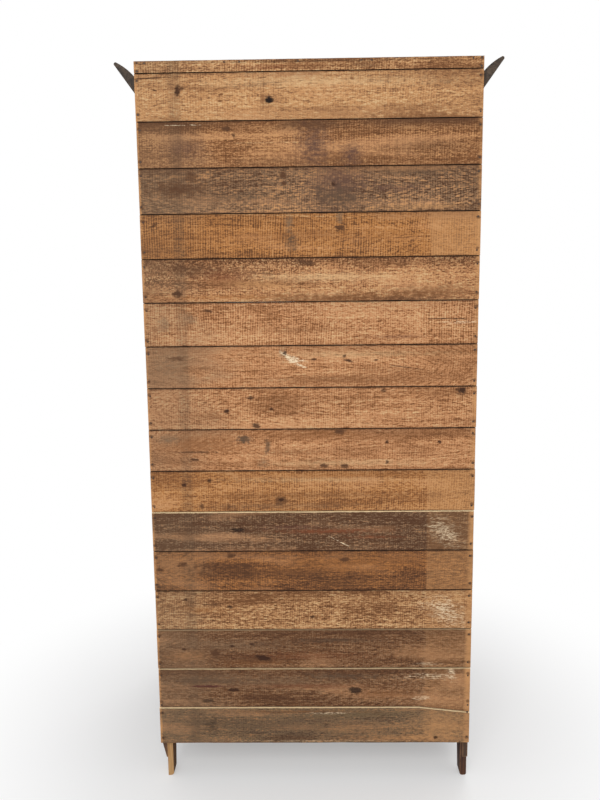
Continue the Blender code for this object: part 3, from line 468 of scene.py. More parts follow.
def sawn_pine(name, low, high, seed, dark, middle, light, marks, pale="cream", saw=0.5,
              torn=0.0, top_dirt=0.4, left_grey=0.35, right_pale=0.0, lit_top=0.0,
              contrast=1.0, shade=0.5, top_drop=0.0, bottom_drop=0.0, arch=None):
    """A board's finish: its ramp of four tones, how strong its saw lines are, how much of its
    upper part is torn, where its arches centre, how its ends and edges differ, and by tone its
    own marks as (across, up, half width, half height, amount) and a turn in degrees, if any."""
    f = Finish(name)
    x, y, z = f.parts(f.place)
    fallen = ((low.x + SEAM_RUN - x) / SEAM_RUN).most(0.0).least(1.0)
    lower = low.z - fallen * bottom_drop
    upper = high.z - fallen * top_drop
    share = (z - lower) / (upper - lower)
    streak = f.noise(3.0, 8.0, 75.0, seed, 5.0, 0.65, 0.4) - 0.5
    swath = f.noise(1.5, 1.0, 21.0, seed + 3, 3.0, 0.5, 0.5) - 0.5
    fine = f.noise(45.0, 60.0, 300.0, seed + 5, 3.0, 0.7) - 0.5
    cloud = f.noise(4.5, 5.0, 13.0, seed + 9, 3.0, 0.55) - 0.5
    wobble = f.noise(70.0, 30.0, 130.0, seed + 13, 3.0, 0.65)
    fleck = f.noise(115.0, 60.0, 370.0, seed + 17, 3.0, 0.75) - 0.5
    rings = f.node("TexWave", {"bands_direction": "Z", "wave_profile": "SIN"}, {
        "Vector": f.stretched(0.30, 1.0, 1.0, seed), "Scale": 30.0, "Distortion": 12.0,
        "Detail": 2.5, "Detail Scale": 1.1, "Detail Roughness": 0.6})
    # saw lines: regular feed marks that lean a little, broken into dashes
    drift = f.noise(7.0, 1.0, 5.0, seed + 21, 1.0)
    phase = (x + z * SAW_LEAN) / SAW_PITCH + drift * 3.0
    swing = f.math("SINE", phase * (2 * math.pi))
    stray = f.noise(170.0, 1.0, 26.0, seed + 25, 2.0, 0.75) - 0.5
    patch = f.noise(5.0, 1.0, 9.0, seed + 27, 1.0).step(0.34, 0.62)
    dashes = f.noise(60.0, 1.0, 45.0, seed + 29, 2.0, 0.7)
    column = f.noise(17.0, 1.0, 2.5, seed + 37, 3.0, 0.6) - 0.5
    line = swing * (patch * 0.11 + 0.07) + stray * dashes * (patch * 0.8 + 0.5) + column * 0.5
    broad = swath * 1.2 + cloud
    tone = 0.53 + (streak * 0.8 + broad * 0.45 + fine * 1.15 + fleck * 2.1
                   + rings * 0.13 - 0.065) * contrast + line * saw
    if arch is not None:
        # flat-sawn figure: thin dark arches, nested round one place along the board
        bow = (abs(share - 0.5 + cloud * 0.30) * ARCHES_ACROSS
               + (x - arch) * (x - arch) * ARCHES_ALONG + swath * 5.0 + wobble * 0.5)
        rung = f.math("SINE", bow * (2 * math.pi))
        tone = tone - rung.step(0.35, 1.0) * ARCH_DEPTH * (streak * 2.0 + 1.0)
    if torn:
        chew = f.noise(260.0, 40.0, 190.0, seed + 33, 2.0, 0.75) - 0.5
        torn_part = (share + cloud * 1.8 + x * 0.5).step(0.40, 1.15) * torn
        tone = tone + torn_part * (chew * 3.6 - 0.28)
    deep_tone = "umber" if dark in ("umber", "slate") else "brown"
    deep = [0.45 * d + 0.55 * k for d, k in zip(TONES[dark], TONES["knot"])]
    ramp = f.node("ValToRGB", {"stops": [(0.04, deep), (0.30, TONES[dark]),
                                         (0.52, TONES[middle]), (0.70, TONES[light]),
                                         (0.90, TONES[pale])]}, {"Fac": tone})
    # broad darker and lighter stretches, then grey weathering towards one end, and a darker
    # vertical band near it
    grey_side = (x + cloud * 0.5).step(0.24, 0.44) * left_grey
    colour = f.mix(broad.step(0.02, -0.34) * shade, ramp, TONES[deep_tone])
    colour = f.mix(broad.step(0.04, 0.40) * SHINE, colour, TONES["peach"])
    colour = f.mix(grey_side, colour, TONES["grey"])
    ghost = (x.step(GHOST_NEAR - GHOST_BLUR, GHOST_NEAR + GHOST_BLUR)
             * x.step(GHOST_FAR + GHOST_FAR_BLUR, GHOST_FAR - GHOST_FAR_BLUR))
    colour = f.mix(ghost * (wobble * 0.9 - 0.18), colour, TONES["slate"])
    if right_pale:
        kept = (x - cloud * 0.02).step(KEPT_CLEAN + KEPT_BLUR, KEPT_CLEAN - KEPT_BLUR)
        colour = f.mix(kept * right_pale * (fine * 2.0 + 0.8), colour, TONES["honey"])
    # dirt under the upper edge; a thin dark line along both edges, partly edge stain and partly
    # painted shade at the seam; and painted shade, in black, inside the seam
    edge = (share.step(0.70, 1.02) * top_dirt * (cloud + 0.5).step(0.30, 0.62)).most(
        (share + (wobble - 0.5) * 0.10).step(0.955, 1.0) * 0.70).most(
        (share - (wobble - 0.5) * 0.08).step(0.035, 0.0) * 0.40)
    colour = f.mix(edge, colour, TONES["umber"])
    inside = (y - low.y).step(*INNER_FACE)
    # painted shade: the seam between boards is coloured black below the face
    seam_shade = ((high.y - y).step(*SEAM_DEPTH) * (1.0 - inside)
               * (high.x - abs(x)).step(*END_CLEAR))
    if name == "pine_back_top_strip":
        seam_shade = seam_shade * share.step(0.9, 0.7)
    listed = [(tone_name, *mark) for tone_name, alike in marks.items() for mark in alike]
    for tone_name, across, up, wide, tall, amount, *turned in sorted(
            listed, key=lambda mark: -mark[3] * mark[4]):
        mask = mark_mask(f, across / 1000, BACK_BOTTOM_Z + up / 1000, wide / 1000, tall / 1000,
                         turned[0] if turned else 0, wobble, x, z)
        if tone_name in ("chalk", "cream"):
            mask = mask * (fleck * 1.4 + fine * 1.2 + 0.5).step(0.38, 0.66)
            amount = min(1.0, SCUFF_STRENGTH * amount)
        elif tone_name not in ("knot", "black"):
            mask = mask * (fine * 1.6 + 0.95)
            amount = min(1.0, WASH_STRENGTH * amount)
        colour = f.mix(mask * amount, colour, TONES[tone_name])
    # the pale bands at both ends, with a ragged inner edge, and rust round the nails
    right = x.step(0.1, -0.1)
    reach = right * (RIGHT_BAND_MORE * (1.0 - low.z / high_of_back)) + END_BAND
    from_end = high.x - abs(x) + (wobble - 0.5) * BAND_RAGGED
    clean = 1.0 - ((from_end - reach) / (right * 0.005 + 0.0025)).step(-1.0, 1.0)
    colour = f.mix(clean * BAND_STRENGTH * (cloud * 3.0 + 0.8), colour, TONES["honey"])
    for part in NAIL_SHARES:
        nail = mark_mask(f, high.x - NAIL_INSET, low.z + part * (high.z - low.z), *NAIL_STAIN,
                         0.0, wobble, abs(x), z)
        colour = f.mix(nail * 0.7, colour, TONES["umber"])
    # painted highlight: the bare top edge of a lower board is made paler, as if lit from above,
    # and the seam's painted shade fills the rest
    if lit_top:
        lit_bare_edge = (share + (wobble - 0.5) * 0.03).step(0.976, 0.992) * (1.0 - inside) * lit_top
        colour = f.mix(seam_shade * (1.0 - lit_bare_edge), colour, TONES["black"])
        colour = f.mix(lit_bare_edge, colour, TONES["raw"])
    # otherwise the whole seam gets the painted shade
    else:
        colour = f.mix(seam_shade, colour, TONES["black"])
    height = tone + fine
    return f.finished(colour, 0.90 - fine * 0.4, height, 0.0009, Specular_IOR_Level=0.2)


print(len(TONES), "tones")

# %% [markdown]
# ## Sixteen boards and a strip
#
# The list goes down the back, from the narrow strip at its top. Every board stands for the solid
# of the same number and stays in its place. The seam between the last two drops near one end,
# because the lower board split there and the upper one was cut to follow it.

# %% The boards
BOARDS = {
    "back_top_strip": dict(
        dark="brown", middle="tan", light="honey", pale="cream", saw=0.7, top_dirt=0.5,
        left_grey=0.3, marks=dict(
            black=[(0, 2026, 480, 4, 0.55), (-120, 1997, 380, 3, 0.85)],
            umber=[(-150, 2014, 60, 9, 0.5)], russet=[(120, 2012, 90, 8, 0.4)])),
    "back_board_01": dict(
        dark="tan", middle="honey", light="honey", saw=0.6, arch=-0.06, top_dirt=0.35,
        left_grey=0.1, contrast=1.2, marks=dict(
            tan=[(366, 1953, 26, 26, 0.5), (110, 1923, 40, 26, 0.5), (-80, 1886, 440, 20, 0.6)],
            knot=[(364, 1953, 8, 17, 0.95, 12), (428, 1956, 6, 3, 0.9),
            (430, 1988, 70, 1.4, 0.9, -2)], umber=[(352, 1958, 15, 5, 0.7, -15)],
            black=[(110, 1923, 11.5, 12, 1.0), (-60, 1871, 430, 2.5, 0.8)],
            brown=[(128, 1925, 6, 16, 0.5), (242, 1943, 8, 3, 0.8), (243, 1925, 8, 3, 0.8),
            (-120, 1980, 7, 4, 0.7), (400, 1880, 60, 10, 0.5), (-330, 1877, 170, 11, 0.7),
            (-330, 1880, 180, 14, 0.5), (-330, 1900, 130, 18, 0.35)],
            straw=[(-40, 1972, 420, 16, 0.4)])),
    "back_board_02": dict(
        dark="brown", middle="burnt", light="tan", pale="honey", saw=0.9, top_dirt=1.0,
        contrast=1.4, marks=dict(
            plum=[(-12, 1806, 56, 80, 0.8), (-118, 1776, 36, 46, 0.75), (345, 1800, 70, 40, 0.5)],
            umber=[(-20, 1858, 100, 18, 0.7), (-40, 1760, 420, 18, 0.5),
            (-330, 1796, 170, 26, 0.5), (230, 1850, 14, 6, 0.8), (210, 1832, 6, 6, 0.7),
            (330, 1852, 60, 16, 0.5)], brown=[(-70, 1774, 200, 24, 0.55)],
            chalk=[(352, 1862, 42, 1.3, 0.9)], cream=[(100, 1812, 130, 1.5, 0.5)])),
    "back_board_03": dict(
        dark="umber", middle="grey", light="tan", pale="honey", saw=0.5, arch=0.1, top_dirt=0.5,
        contrast=0.85, marks=dict(
            umber=[(386, 1688, 80, 22, 0.7), (330, 1720, 16, 18, 0.6), (330, 1690, 160, 44, 0.5),
            (74, 1722, 12, 12, 0.8), (72, 1700, 7, 6, 0.7)], tan=[(-250, 1738, 200, 8, 0.5)],
            honey=[(-330, 1632, 140, 9, 0.5)], plum=[(-76, 1690, 105, 80, 0.8),
            (-250, 1685, 90, 14, 0.6)], slate=[(-85, 1662, 95, 40, 0.75, 12),
            (180, 1665, 150, 16, 0.5), (-300, 1728, 160, 12, 0.5)],
            knot=[(-66, 1698, 10, 6, 0.8)])),
    "back_board_04": dict(
        dark="brown", middle="amber", light="amber", pale="honey", saw=1.25, arch=0.24,
        top_dirt=0.35, left_grey=0.15, right_pale=0.6, marks=dict(
            grey=[(60, 1595, 14, 30, 0.75), (-84, 1605, 10, 22, 0.5)],
            slate=[(52, 1540, 24, 36, 0.75, -10)], umber=[(-85, 1577, 16, 9, 0.8)],
            knot=[(440, 1592, 8, 6, 0.7)], burnt=[(40, 1556, 430, 20, 0.35)],
            cream=[(40, 1612, 200, 1.6, 0.6, 2)])),
    "back_board_05": dict(
        dark="brown", middle="pink", light="honey", saw=0.45, torn=1.0, top_dirt=0.5, marks=dict(
            umber=[(330, 1466, 190, 36, 0.85, 4), (-290, 1377, 190, 9, 0.5),
            (10, 1482, 26, 9, 0.7)], russet=[(250, 1440, 90, 28, 0.5)],
            knot=[(382, 1397, 14, 12, 0.85)], orange=[(250, 1386, 160, 9, 0.6)],
            brown=[(-60, 1382, 240, 18, 0.7), (-150, 1380, 330, 16, 0.7),
            (-330, 1394, 200, 24, 0.85, -2)], straw=[(-30, 1440, 230, 16, 0.4)],
            honey=[(140, 1420, 150, 14, 0.6, 3)])),
    "back_board_06": dict(
        dark="burnt", middle="pink", light="peach", saw=0.8, top_dirt=0.2, shade=0.3, contrast=0.9,
        marks=dict(
            umber=[(295, 1347, 15, 5, 0.9), (-405, 1318, 70, 1.6, 0.85, 1)],
            grey=[(348, 1325, 26, 20, 0.6), (425, 1310, 22, 26, 0.6)],
            chalk=[(-430, 1308, 50, 4, 0.35)], brown=[(120, 1330, 14, 26, 0.4),
            (30, 1290, 200, 10, 0.35)], maroon=[(-250, 1268, 110, 6, 0.4)])),
    "back_board_07": dict(
        dark="burnt", middle="pink", light="peach", saw=0.5, arch=0.18, top_dirt=0.35,
        left_grey=0.6, contrast=0.75, marks=dict(
            grey=[(410, 1190, 62, 44, 0.55), (80, 1222, 14, 26, 0.6)],
            chalk=[(62, 1212, 32, 6.5, 1.0, 28), (48, 1196, 36, 4.5, 1.0, 25),
            (36, 1206, 24, 5, 0.9, 15), (54, 1205, 25, 12, 0.8, 20)],
            knot=[(-110, 1200, 14, 4, 0.9, 10), (-98, 1214, 5, 5, 0.8), (75, 1224, 6, 5, 0.85)],
            umber=[(392, 1210, 26, 7, 0.6), (-190, 1201, 7, 3, 0.8), (-10, 1205, 10, 3, 0.9, -12),
            (-270, 1180, 60, 2, 0.6, 8)], brown=[(-60, 1150, 170, 10, 0.4),
            (-120, 1142, 360, 18, 0.5)], straw=[(-120, 1218, 300, 13, 0.35)])),
    "back_board_08": dict(
        dark="burnt", middle="pink", light="peach", saw=0.6, arch=-0.22, top_dirt=0.1,
        contrast=0.9, marks=dict(
            knot=[(248, 1055, 9, 7, 0.95), (164, 1010, 13, 8, 0.85, 10), (180, 1093, 12, 6, 0.8),
            (116, 1060, 7, 5, 0.8), (-209, 1113, 8, 5, 0.85), (-439, 1108, 15, 12, 0.95)],
            brown=[(-430, 1108, 34, 14, 0.6), (300, 1040, 90, 14, 0.4)])),
    "back_board_09": dict(
        dark="burnt", middle="pink", light="peach", saw=0.45, arch=-0.24, top_dirt=0.4,
        contrast=0.8, marks=dict(
            slate=[(200, 970, 24, 12, 0.75), (130, 948, 9, 26, 0.6), (146, 900, 22, 18, 0.4)],
            grey=[(425, 972, 44, 20, 0.7)], umber=[(345, 932, 64, 3.5, 0.6),
            (347, 909, 13, 6, 0.8), (-83, 990, 18, 8, 0.8), (-36, 888, 15, 6, 0.8),
            (-98, 887, 13, 6, 0.8)], brown=[(330, 962, 150, 30, 0.4), (60, 930, 120, 12, 0.45)],
            knot=[(-222, 959, 6, 5, 0.85), (-222, 898, 6, 5, 0.85), (-377, 957, 6, 5, 0.85)],
            burnt=[(330, 950, 190, 34, 0.55), (20, 978, 260, 14, 0.4)],
            straw=[(-100, 896, 300, 14, 0.35)])),
    "back_board_10": dict(
        dark="burnt", middle="amber", light="honey", pale="honey", saw=0.95, arch=0.3,
        top_dirt=0.3, left_grey=0.0, right_pale=0.5, marks=dict(
            knot=[(382, 833, 7, 5, 0.9), (307, 845, 7, 5, 0.9), (93, 785, 7, 5, 0.9)],
            umber=[(92, 782, 22, 13, 0.55), (250, 764, 5, 12, 0.6), (330, 766, 5, 12, 0.6)],
            brown=[(0, 798, 440, 13, 0.55)], grey=[(120, 766, 320, 12, 0.25)],
            straw=[(0, 846, 300, 9, 0.3)], orange=[(-100, 858, 300, 12, 0.4)])),
    "back_board_11": dict(
        dark="umber", middle="umber", light="grey", pale="tan", saw=0.35, top_dirt=0.2,
        left_grey=0.2, lit_top=0.95, right_pale=0.2, contrast=0.85, marks=dict(
            russet=[(-52, 687, 180, 9, 0.8), (-190, 668, 90, 6, 0.6)],
            maroon=[(60, 700, 120, 8, 0.5)], chalk=[(-82, 654, 30, 1.8, 0.95, 28),
            (-396, 682, 60, 34, 0.5, 40), (-360, 700, 16, 3, 0.5)], black=[(224, 693, 24, 7, 0.8)],
            umber=[(380, 690, 60, 30, 0.4)])),
    "back_board_12": dict(
        dark="umber", middle="brown", light="burnt", pale="amber", saw=0.45, arch=-0.1,
        top_dirt=0.4, left_grey=0.2, right_pale=0.45, marks=dict(
            tan=[(420, 585, 120, 60, 0.55)], orange=[(-120, 585, 260, 34, 0.45)],
            umber=[(464, 568, 13, 8, 0.9), (396, 584, 15, 8, 0.85), (199, 580, 15, 8, 0.85),
            (247, 611, 15, 7, 0.85), (-97, 597, 17, 8, 0.85)], brown=[(60, 560, 160, 14, 0.5),
            (-260, 600, 90, 12, 0.4)])),
    "back_board_13": dict(
        dark="brown", middle="tan", light="honey", saw=0.45, top_dirt=0.35, contrast=1.2,
        right_pale=0.4, marks=dict(
            chalk=[(-405, 428, 66, 44, 0.6, 40), (-380, 452, 80, 14, 0.45)],
            knot=[(388, 472, 8, 5, 0.9), (254, 449, 8, 5, 0.85), (4, 416, 8, 5, 0.85)],
            orange=[(330, 440, 90, 12, 0.4)])),
    "back_board_14": dict(
        dark="umber", middle="brown", light="grey", pale="tan", saw=0.35, arch=-0.02, top_dirt=0.4,
        lit_top=0.25, right_pale=0.2, contrast=1.1, marks=dict(
            russet=[(20, 290, 240, 16, 0.3)], burnt=[(180, 268, 150, 12, 0.35)],
            slate=[(-60, 340, 160, 10, 0.6)], grey=[(250, 325, 220, 26, 0.45)],
            knot=[(156, 283, 26, 10, 0.95, 12), (190, 328, 8, 4, 0.8), (250, 322, 8, 4, 0.8),
            (400, 312, 7, 5, 0.8)], umber=[(302, 300, 16, 14, 0.85)], tan=[(390, 290, 90, 26, 0.5),
            (-330, 300, 140, 30, 0.45)], chalk=[(-345, 262, 50, 6, 0.35)])),
    "back_board_15": dict(
        dark="umber", middle="brown", light="grey", pale="tan", saw=0.35, arch=0.22, top_dirt=0.4,
        lit_top=0.6, right_pale=0.25, contrast=1.1, marks=dict(
            slate=[(340, 210, 150, 18, 0.6), (-100, 222, 170, 12, 0.6)],
            maroon=[(330, 190, 60, 4, 0.95)], russet=[(20, 190, 240, 10, 0.4)],
            burnt=[(-220, 165, 130, 22, 0.4)], knot=[(248, 178, 20, 6, 0.9)],
            black=[(330, 142, 22, 6, 0.6), (-126, 176, 20, 12, 0.85)],
            grey=[(140, 205, 320, 30, 0.45)], chalk=[(-360, 222, 90, 12, 0.5),
            (-425, 232, 14, 34, 0.7, -20), (-330, 150, 30, 7, 0.35)])),
    "back_board_16": dict(
        dark="slate", middle="grey", light="moss", pale="tan", saw=0.35, top_dirt=0.1,
        lit_top=0.95, right_pale=0.2, contrast=1.2, marks=dict(
            moss=[(-130, 95, 220, 16, 0.5)], honey=[(-330, 18, 150, 15, 0.55),
            (-400, 55, 125, 50, 0.6)], slate=[(330, 70, 160, 38, 0.35), (120, 60, 300, 40, 0.5)],
            brown=[(40, 104, 250, 6, 0.6)], tan=[(-250, 14, 280, 12, 0.6),
            (-150, 50, 170, 30, 0.35)], knot=[(-379, 18, 8, 6, 0.9)],
            chalk=[(-40, 100, 60, 4, 0.4), (0, 6, 300, 3, 0.25)], black=[(320, 60, 26, 30, 0.4)])),
}
RUN_STEP, RISE_STEP = 0.0028, 0.0085
HAND_CUT = 0.0016
RIPPLE_DEPTH = 0.0004


def shown(mesh, name, body, stands_for):
    """Puts a finished mesh in the scene as a piece that rides on a body."""
    mesh.name = name
    made = bpy.data.objects.new(name, mesh)
    scene.collection.objects.link(made)
    if stands_for:
        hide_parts(*stands_for)
    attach(made, body)
    return made


def grown(tree, values, seed_mesh=None):
    """The plain mesh that a tree makes."""
    maker = bpy.data.objects.new("maker", seed_mesh or bpy.data.meshes.new("maker"))
    scene.collection.objects.link(maker)
    mesh = tree.place(maker, values)
    bpy.data.objects.remove(maker)
    return mesh


boards = {}
chance = random.Random(16)
for count, (name, look) in enumerate(BOARDS.items()):
    low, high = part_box(name)
    top_drop = SEAM_DROP * (name == "back_board_16")
    bottom_drop = SEAM_DROP * (name == "back_board_15")
    low.z += bottom_drop
    wood = sawn_pine("pine_" + name, low, high, 7.3 * count, top_drop=top_drop,
                     bottom_drop=bottom_drop, **look)
    mesh = grown(board_tree, {
        "Low Corner": low[:], "High Corner": high[:],
        "Drop Start": low.x + SEAM_RUN, "Drop Run": SEAM_RUN,
        "Bottom Drop": bottom_drop, "Top Drop": top_drop,
        "Trim Low X": chance.uniform(0, HAND_CUT), "Trim High X": chance.uniform(0, HAND_CUT),
        "Steps Along": round((high.x - low.x) / RUN_STEP),
        "Steps Across": max(4, round((high.z - low.z) / RISE_STEP)),
        "Ripple Depth": RIPPLE_DEPTH * look["saw"], "Seed": 3.7 * count, "Wood": wood})
    boards[name] = shown(mesh, "sawn_" + name, "booth", [name])
print(len(boards), "boards,", sum(len(b.data.polygons) for b in boards.values()), "faces")

# %% [markdown]
# ## Stained wood, raw pine, brass, iron and glass
#
# What the back boards cover is joiner's work. It was stained dark and varnished, and it has
# worn to bare wood along its edges. The wear could be painted by hand, but a rule does it for
# every piece: on a straight piece of wood, the middle one of the three distances to its box's
# faces is the distance to the nearest edge. Dust dulls whatever faces up. Grain follows each
# piece's length, so every piece has its own finish made by the same function.

# %% The finishes of the other pieces
STAINS = {  # dark, middle and light of the figure, then the wood under the stain
    "stained": ((0.030, 0.012, 0.007), (0.075, 0.028, 0.013), (0.135, 0.055, 0.024),
                (0.30, 0.165, 0.080)),
    "weathered": ((0.018, 0.012, 0.009), (0.050, 0.034, 0.023), (0.105, 0.072, 0.048),
                  (0.24, 0.17, 0.11)),
    "raw": ((0.30, 0.145, 0.052), (0.47, 0.255, 0.100), (0.58, 0.355, 0.160),
            (0.62, 0.40, 0.20)),
    "dusty": ((0.15, 0.085, 0.045), (0.27, 0.165, 0.090), (0.36, 0.24, 0.145),
              (0.40, 0.28, 0.17)),
}
ALONG, ACROSS = 3.2, 62.0
FACES_UP, DUST_DULL = (0.80, 0.97), 0.92


def planed_wood(name, low, high, grain, seed, stain="stained", wear=0.7, gloss=0.46,
                grime=0.35, dirt_and_shade_below_x=None):
    """Wood with its grain along one axis, rubbed bare at its edges and dirty near the floor."""
    f = Finish(name)
    x, y, z = f.parts(f.place)
    rates = [ALONG if axis == grain else ACROSS for axis in "XYZ"]
    figure = f.noise(*rates, seed, 4.0, 0.62, 0.8) - 0.5
    pores = f.noise(*(5.0 * rate for rate in rates), seed + 3, 2.0, 0.7) - 0.5
    cloud = f.noise(3.5, 3.5, 3.5, seed + 7, 3.0) - 0.5
    wobble = f.noise(55.0, 55.0, 55.0, seed + 11, 3.0, 0.65) - 0.5
    tone = 0.5 + figure * 1.5 + pores * 0.8 + cloud * 0.6
    dark, middle, light, bare = STAINS[stain]
    colour = f.node("ValToRGB", {"stops": [(0.22, dark), (0.50, middle), (0.80, light)]},
                    {"Fac": tone})
    half = (high - low) / 2
    middle_of = (high + low) / 2
    a, b, c = (half[i] - abs(axis - middle_of[i]) for i, axis in enumerate((x, y, z)))
    from_edge = a.least(b).most(a.most(b).least(c))
    rubbed = (from_edge + wobble * 0.011).step(0.0034, 0.0004) * wear
    colour = f.mix(rubbed, colour, bare)
    scuffs = (f.noise(38.0, 38.0, 38.0, seed + 15, 4.0, 0.7).step(0.64, 0.70)
              * z.step(0.75, 0.10) * wear)
    colour = f.mix(scuffs, colour, bare)
    dirt = (z + cloud * 0.3).step(0.42, 0.08) * grime
    colour = f.mix(dirt, colour, TONES["slate"])
    # the leg's inner face is darkened, partly as dirt and partly as painted shade
    if dirt_and_shade_below_x is not None:
        colour = f.mix(x.step(dirt_and_shade_below_x + 0.0012, dirt_and_shade_below_x + 0.0004) * 0.85, colour,
                       (0.075, 0.030, 0.010))
    # dust lies on whatever faces up, and takes its shine
    up = f.node("SeparateXYZ", None, {0: f.node("TexCoord", output="Normal")}, "Z")
    dust = up.step(*FACES_UP)
    colour = f.mix(dust * (cloud + 0.55), colour, TONES["dust"])
    roughness = (gloss + rubbed * 0.3 + dirt * 0.3 + pores * 0.15).most(dust * DUST_DULL)
    return f.finished(colour, roughness, figure + pores * 1.5 - rubbed * 0.4, 0.0004,
                      Specular_IOR_Level=0.3)


def old_brass(name, seed, dulled=0.0):
    """Brass gone brown in patches, and still bright where hands and hinges rub."""
    f = Finish(name)
    patches = f.noise(70.0, 70.0, 5.0, seed, 4.0, 0.6)
    fine = f.noise(420.0, 420.0, 160.0, seed + 3, 3.0, 0.7) - 0.5
    tarnish = (patches + fine * 0.5 + dulled).step(0.36, 0.64)
    colour = f.mix(tarnish, (0.42, 0.285, 0.120), (0.20, 0.130, 0.060))
    return f.finished(colour, tarnish * 0.26 + 0.30 + fine * 0.12, fine, 0.00015, Metallic=1.0)


def dark_iron(name, seed):
    """Iron with a brown skin of rust."""
    f = Finish(name)
    rust = f.noise(260.0, 260.0, 260.0, seed, 4.0, 0.7).step(0.42, 0.62)
    colour = f.mix(rust, (0.045, 0.040, 0.037), (0.13, 0.055, 0.024))
    return f.finished(colour, rust * 0.35 + 0.45, rust, 0.0002, Metallic=0.6)


def old_glass(name, seed):
    """Clear drawn glass: slightly wavy, smeared where it is hard to wipe."""
    f = Finish(name)
    smear = f.noise(11.0, 11.0, 5.0, seed, 4.0, 0.6).step(0.46, 0.72)
    waves = f.noise(9.0, 3.0, 3.5, seed + 3, 2.0)
    return f.finished((0.93, 0.965, 0.945), smear * 0.10 + 0.02, waves, 0.0018,
                      Transmission_Weight=1.0, IOR=1.46)


print("stains:", ", ".join(STAINS))

# %% [markdown]
# ## Which piece gets which finish
#
# The list goes by the direction of the grain, as a joiner would pick the wood: upright pieces
# have it upright, rails across. The crown's three lengths run round the top, and their weathered
# wood is nearly grey. The rear foot on one side was shaped from raw pine; its inner face is
# darker, partly with dirt and partly as painted shade.

# %% The finishes go on
GRAIN = {
    "Z": ["side_{side}_rear_stile", "side_{side}_lower_panel", "side_{side}_upper_panel",
          "front_post_{side}", "door_{side}_frame", "door_{side}_panel"],
    "Y": ["side_{side}_bottom_rail", "side_{side}_middle_rail", "side_{side}_top_rail"],
}
LONE = {
    "X": ["frieze_board", "front_sill", "corner_seat", "directory_shelf"],
    "Z": ["telephone_backboard"],
}


def coat(name, finish):
    """Puts a finish on a solid of the frame."""
    for place in bpy.data.objects[name].material_slots:
        place.material = finish


coats = {}
for grain, patterns in GRAIN.items():
    for pattern in patterns:
        for side in ("left", "right"):
            coats[pattern.format(side=side)] = (grain, dict(stain="stained"))
for grain, names in LONE.items():
    for name in names:
        coats[name] = (grain, dict(stain="stained"))
for name, grain in (("crown_left", "Y"), ("crown_right", "Y"), ("crown_front", "X")):
    coats[name] = (grain, dict(stain="weathered", gloss=0.62, wear=0.5))
for name in ("floor", "roof"):
    coats[name] = ("X", dict(stain="dusty", gloss=0.85, wear=0.4))
for name in ("track_front_rail", "track_rear_rail"):
    coats[name] = ("X", dict(stain="raw", gloss=0.75, wear=0.4))
coats["leg_rear_left"] = ("Z", dict(stain="stained", gloss=0.6, wear=0.35, grime=0.0))
for name in ("leg_front_left", "leg_front_right", "leg_rear_right"):
    coats[name] = ("Z", dict(stain="raw", gloss=0.75, wear=0.3, grime=0.1,
                             dirt_and_shade_below_x=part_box(name)[0].x))
for count, (name, (grain, look)) in enumerate(coats.items()):
    low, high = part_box(name)
    coat(name, planed_wood("wood_" + name, low, high, grain, 5.3 * count, **look))
for count, name in enumerate(("jamb_hinge_post_leaf", "jamb_hinge_door_leaf",
                              "fold_hinge_left_leaf", "fold_hinge_right_leaf", "door_knobs")):
    coat(name, old_brass("brass_" + name, 3.1 * count))
for count, name in enumerate(("door_guide_strap", "door_guide_pin")):
    coat(name, dark_iron("iron_" + name, 2.9 * count))
for count, name in enumerate(("door_left_glass", "door_right_glass")):
    coat(name, old_glass("glass_" + name, 4.3 * count))
bare = [name for name in nodes if name not in BOARDS and not all(
    place.material and place.material.use_nodes and len(place.material.node_tree.nodes) > 4
    for place in bpy.data.objects[name].material_slots)]
print(len(coats), "wooden solids finished; left without a finish:", bare)

# %% [markdown]
# ## Nails and screws
#
# Every board is held by two nails at each end, and the strip by a few more along its top edge.
# Continuous hinges have a screw about every hand's breadth. Heads that repeat are a job
# for Geometry Nodes: the places come in as loose points, and the tree puts a head on each one,
# turned and tilted a little by a fixed seed. A nail's head is a flattened ball cut off level, and
# a screw's has a slot besides.

# %% The tree for heads
HEAD_SIDES, HEAD_RINGS = 10, 6


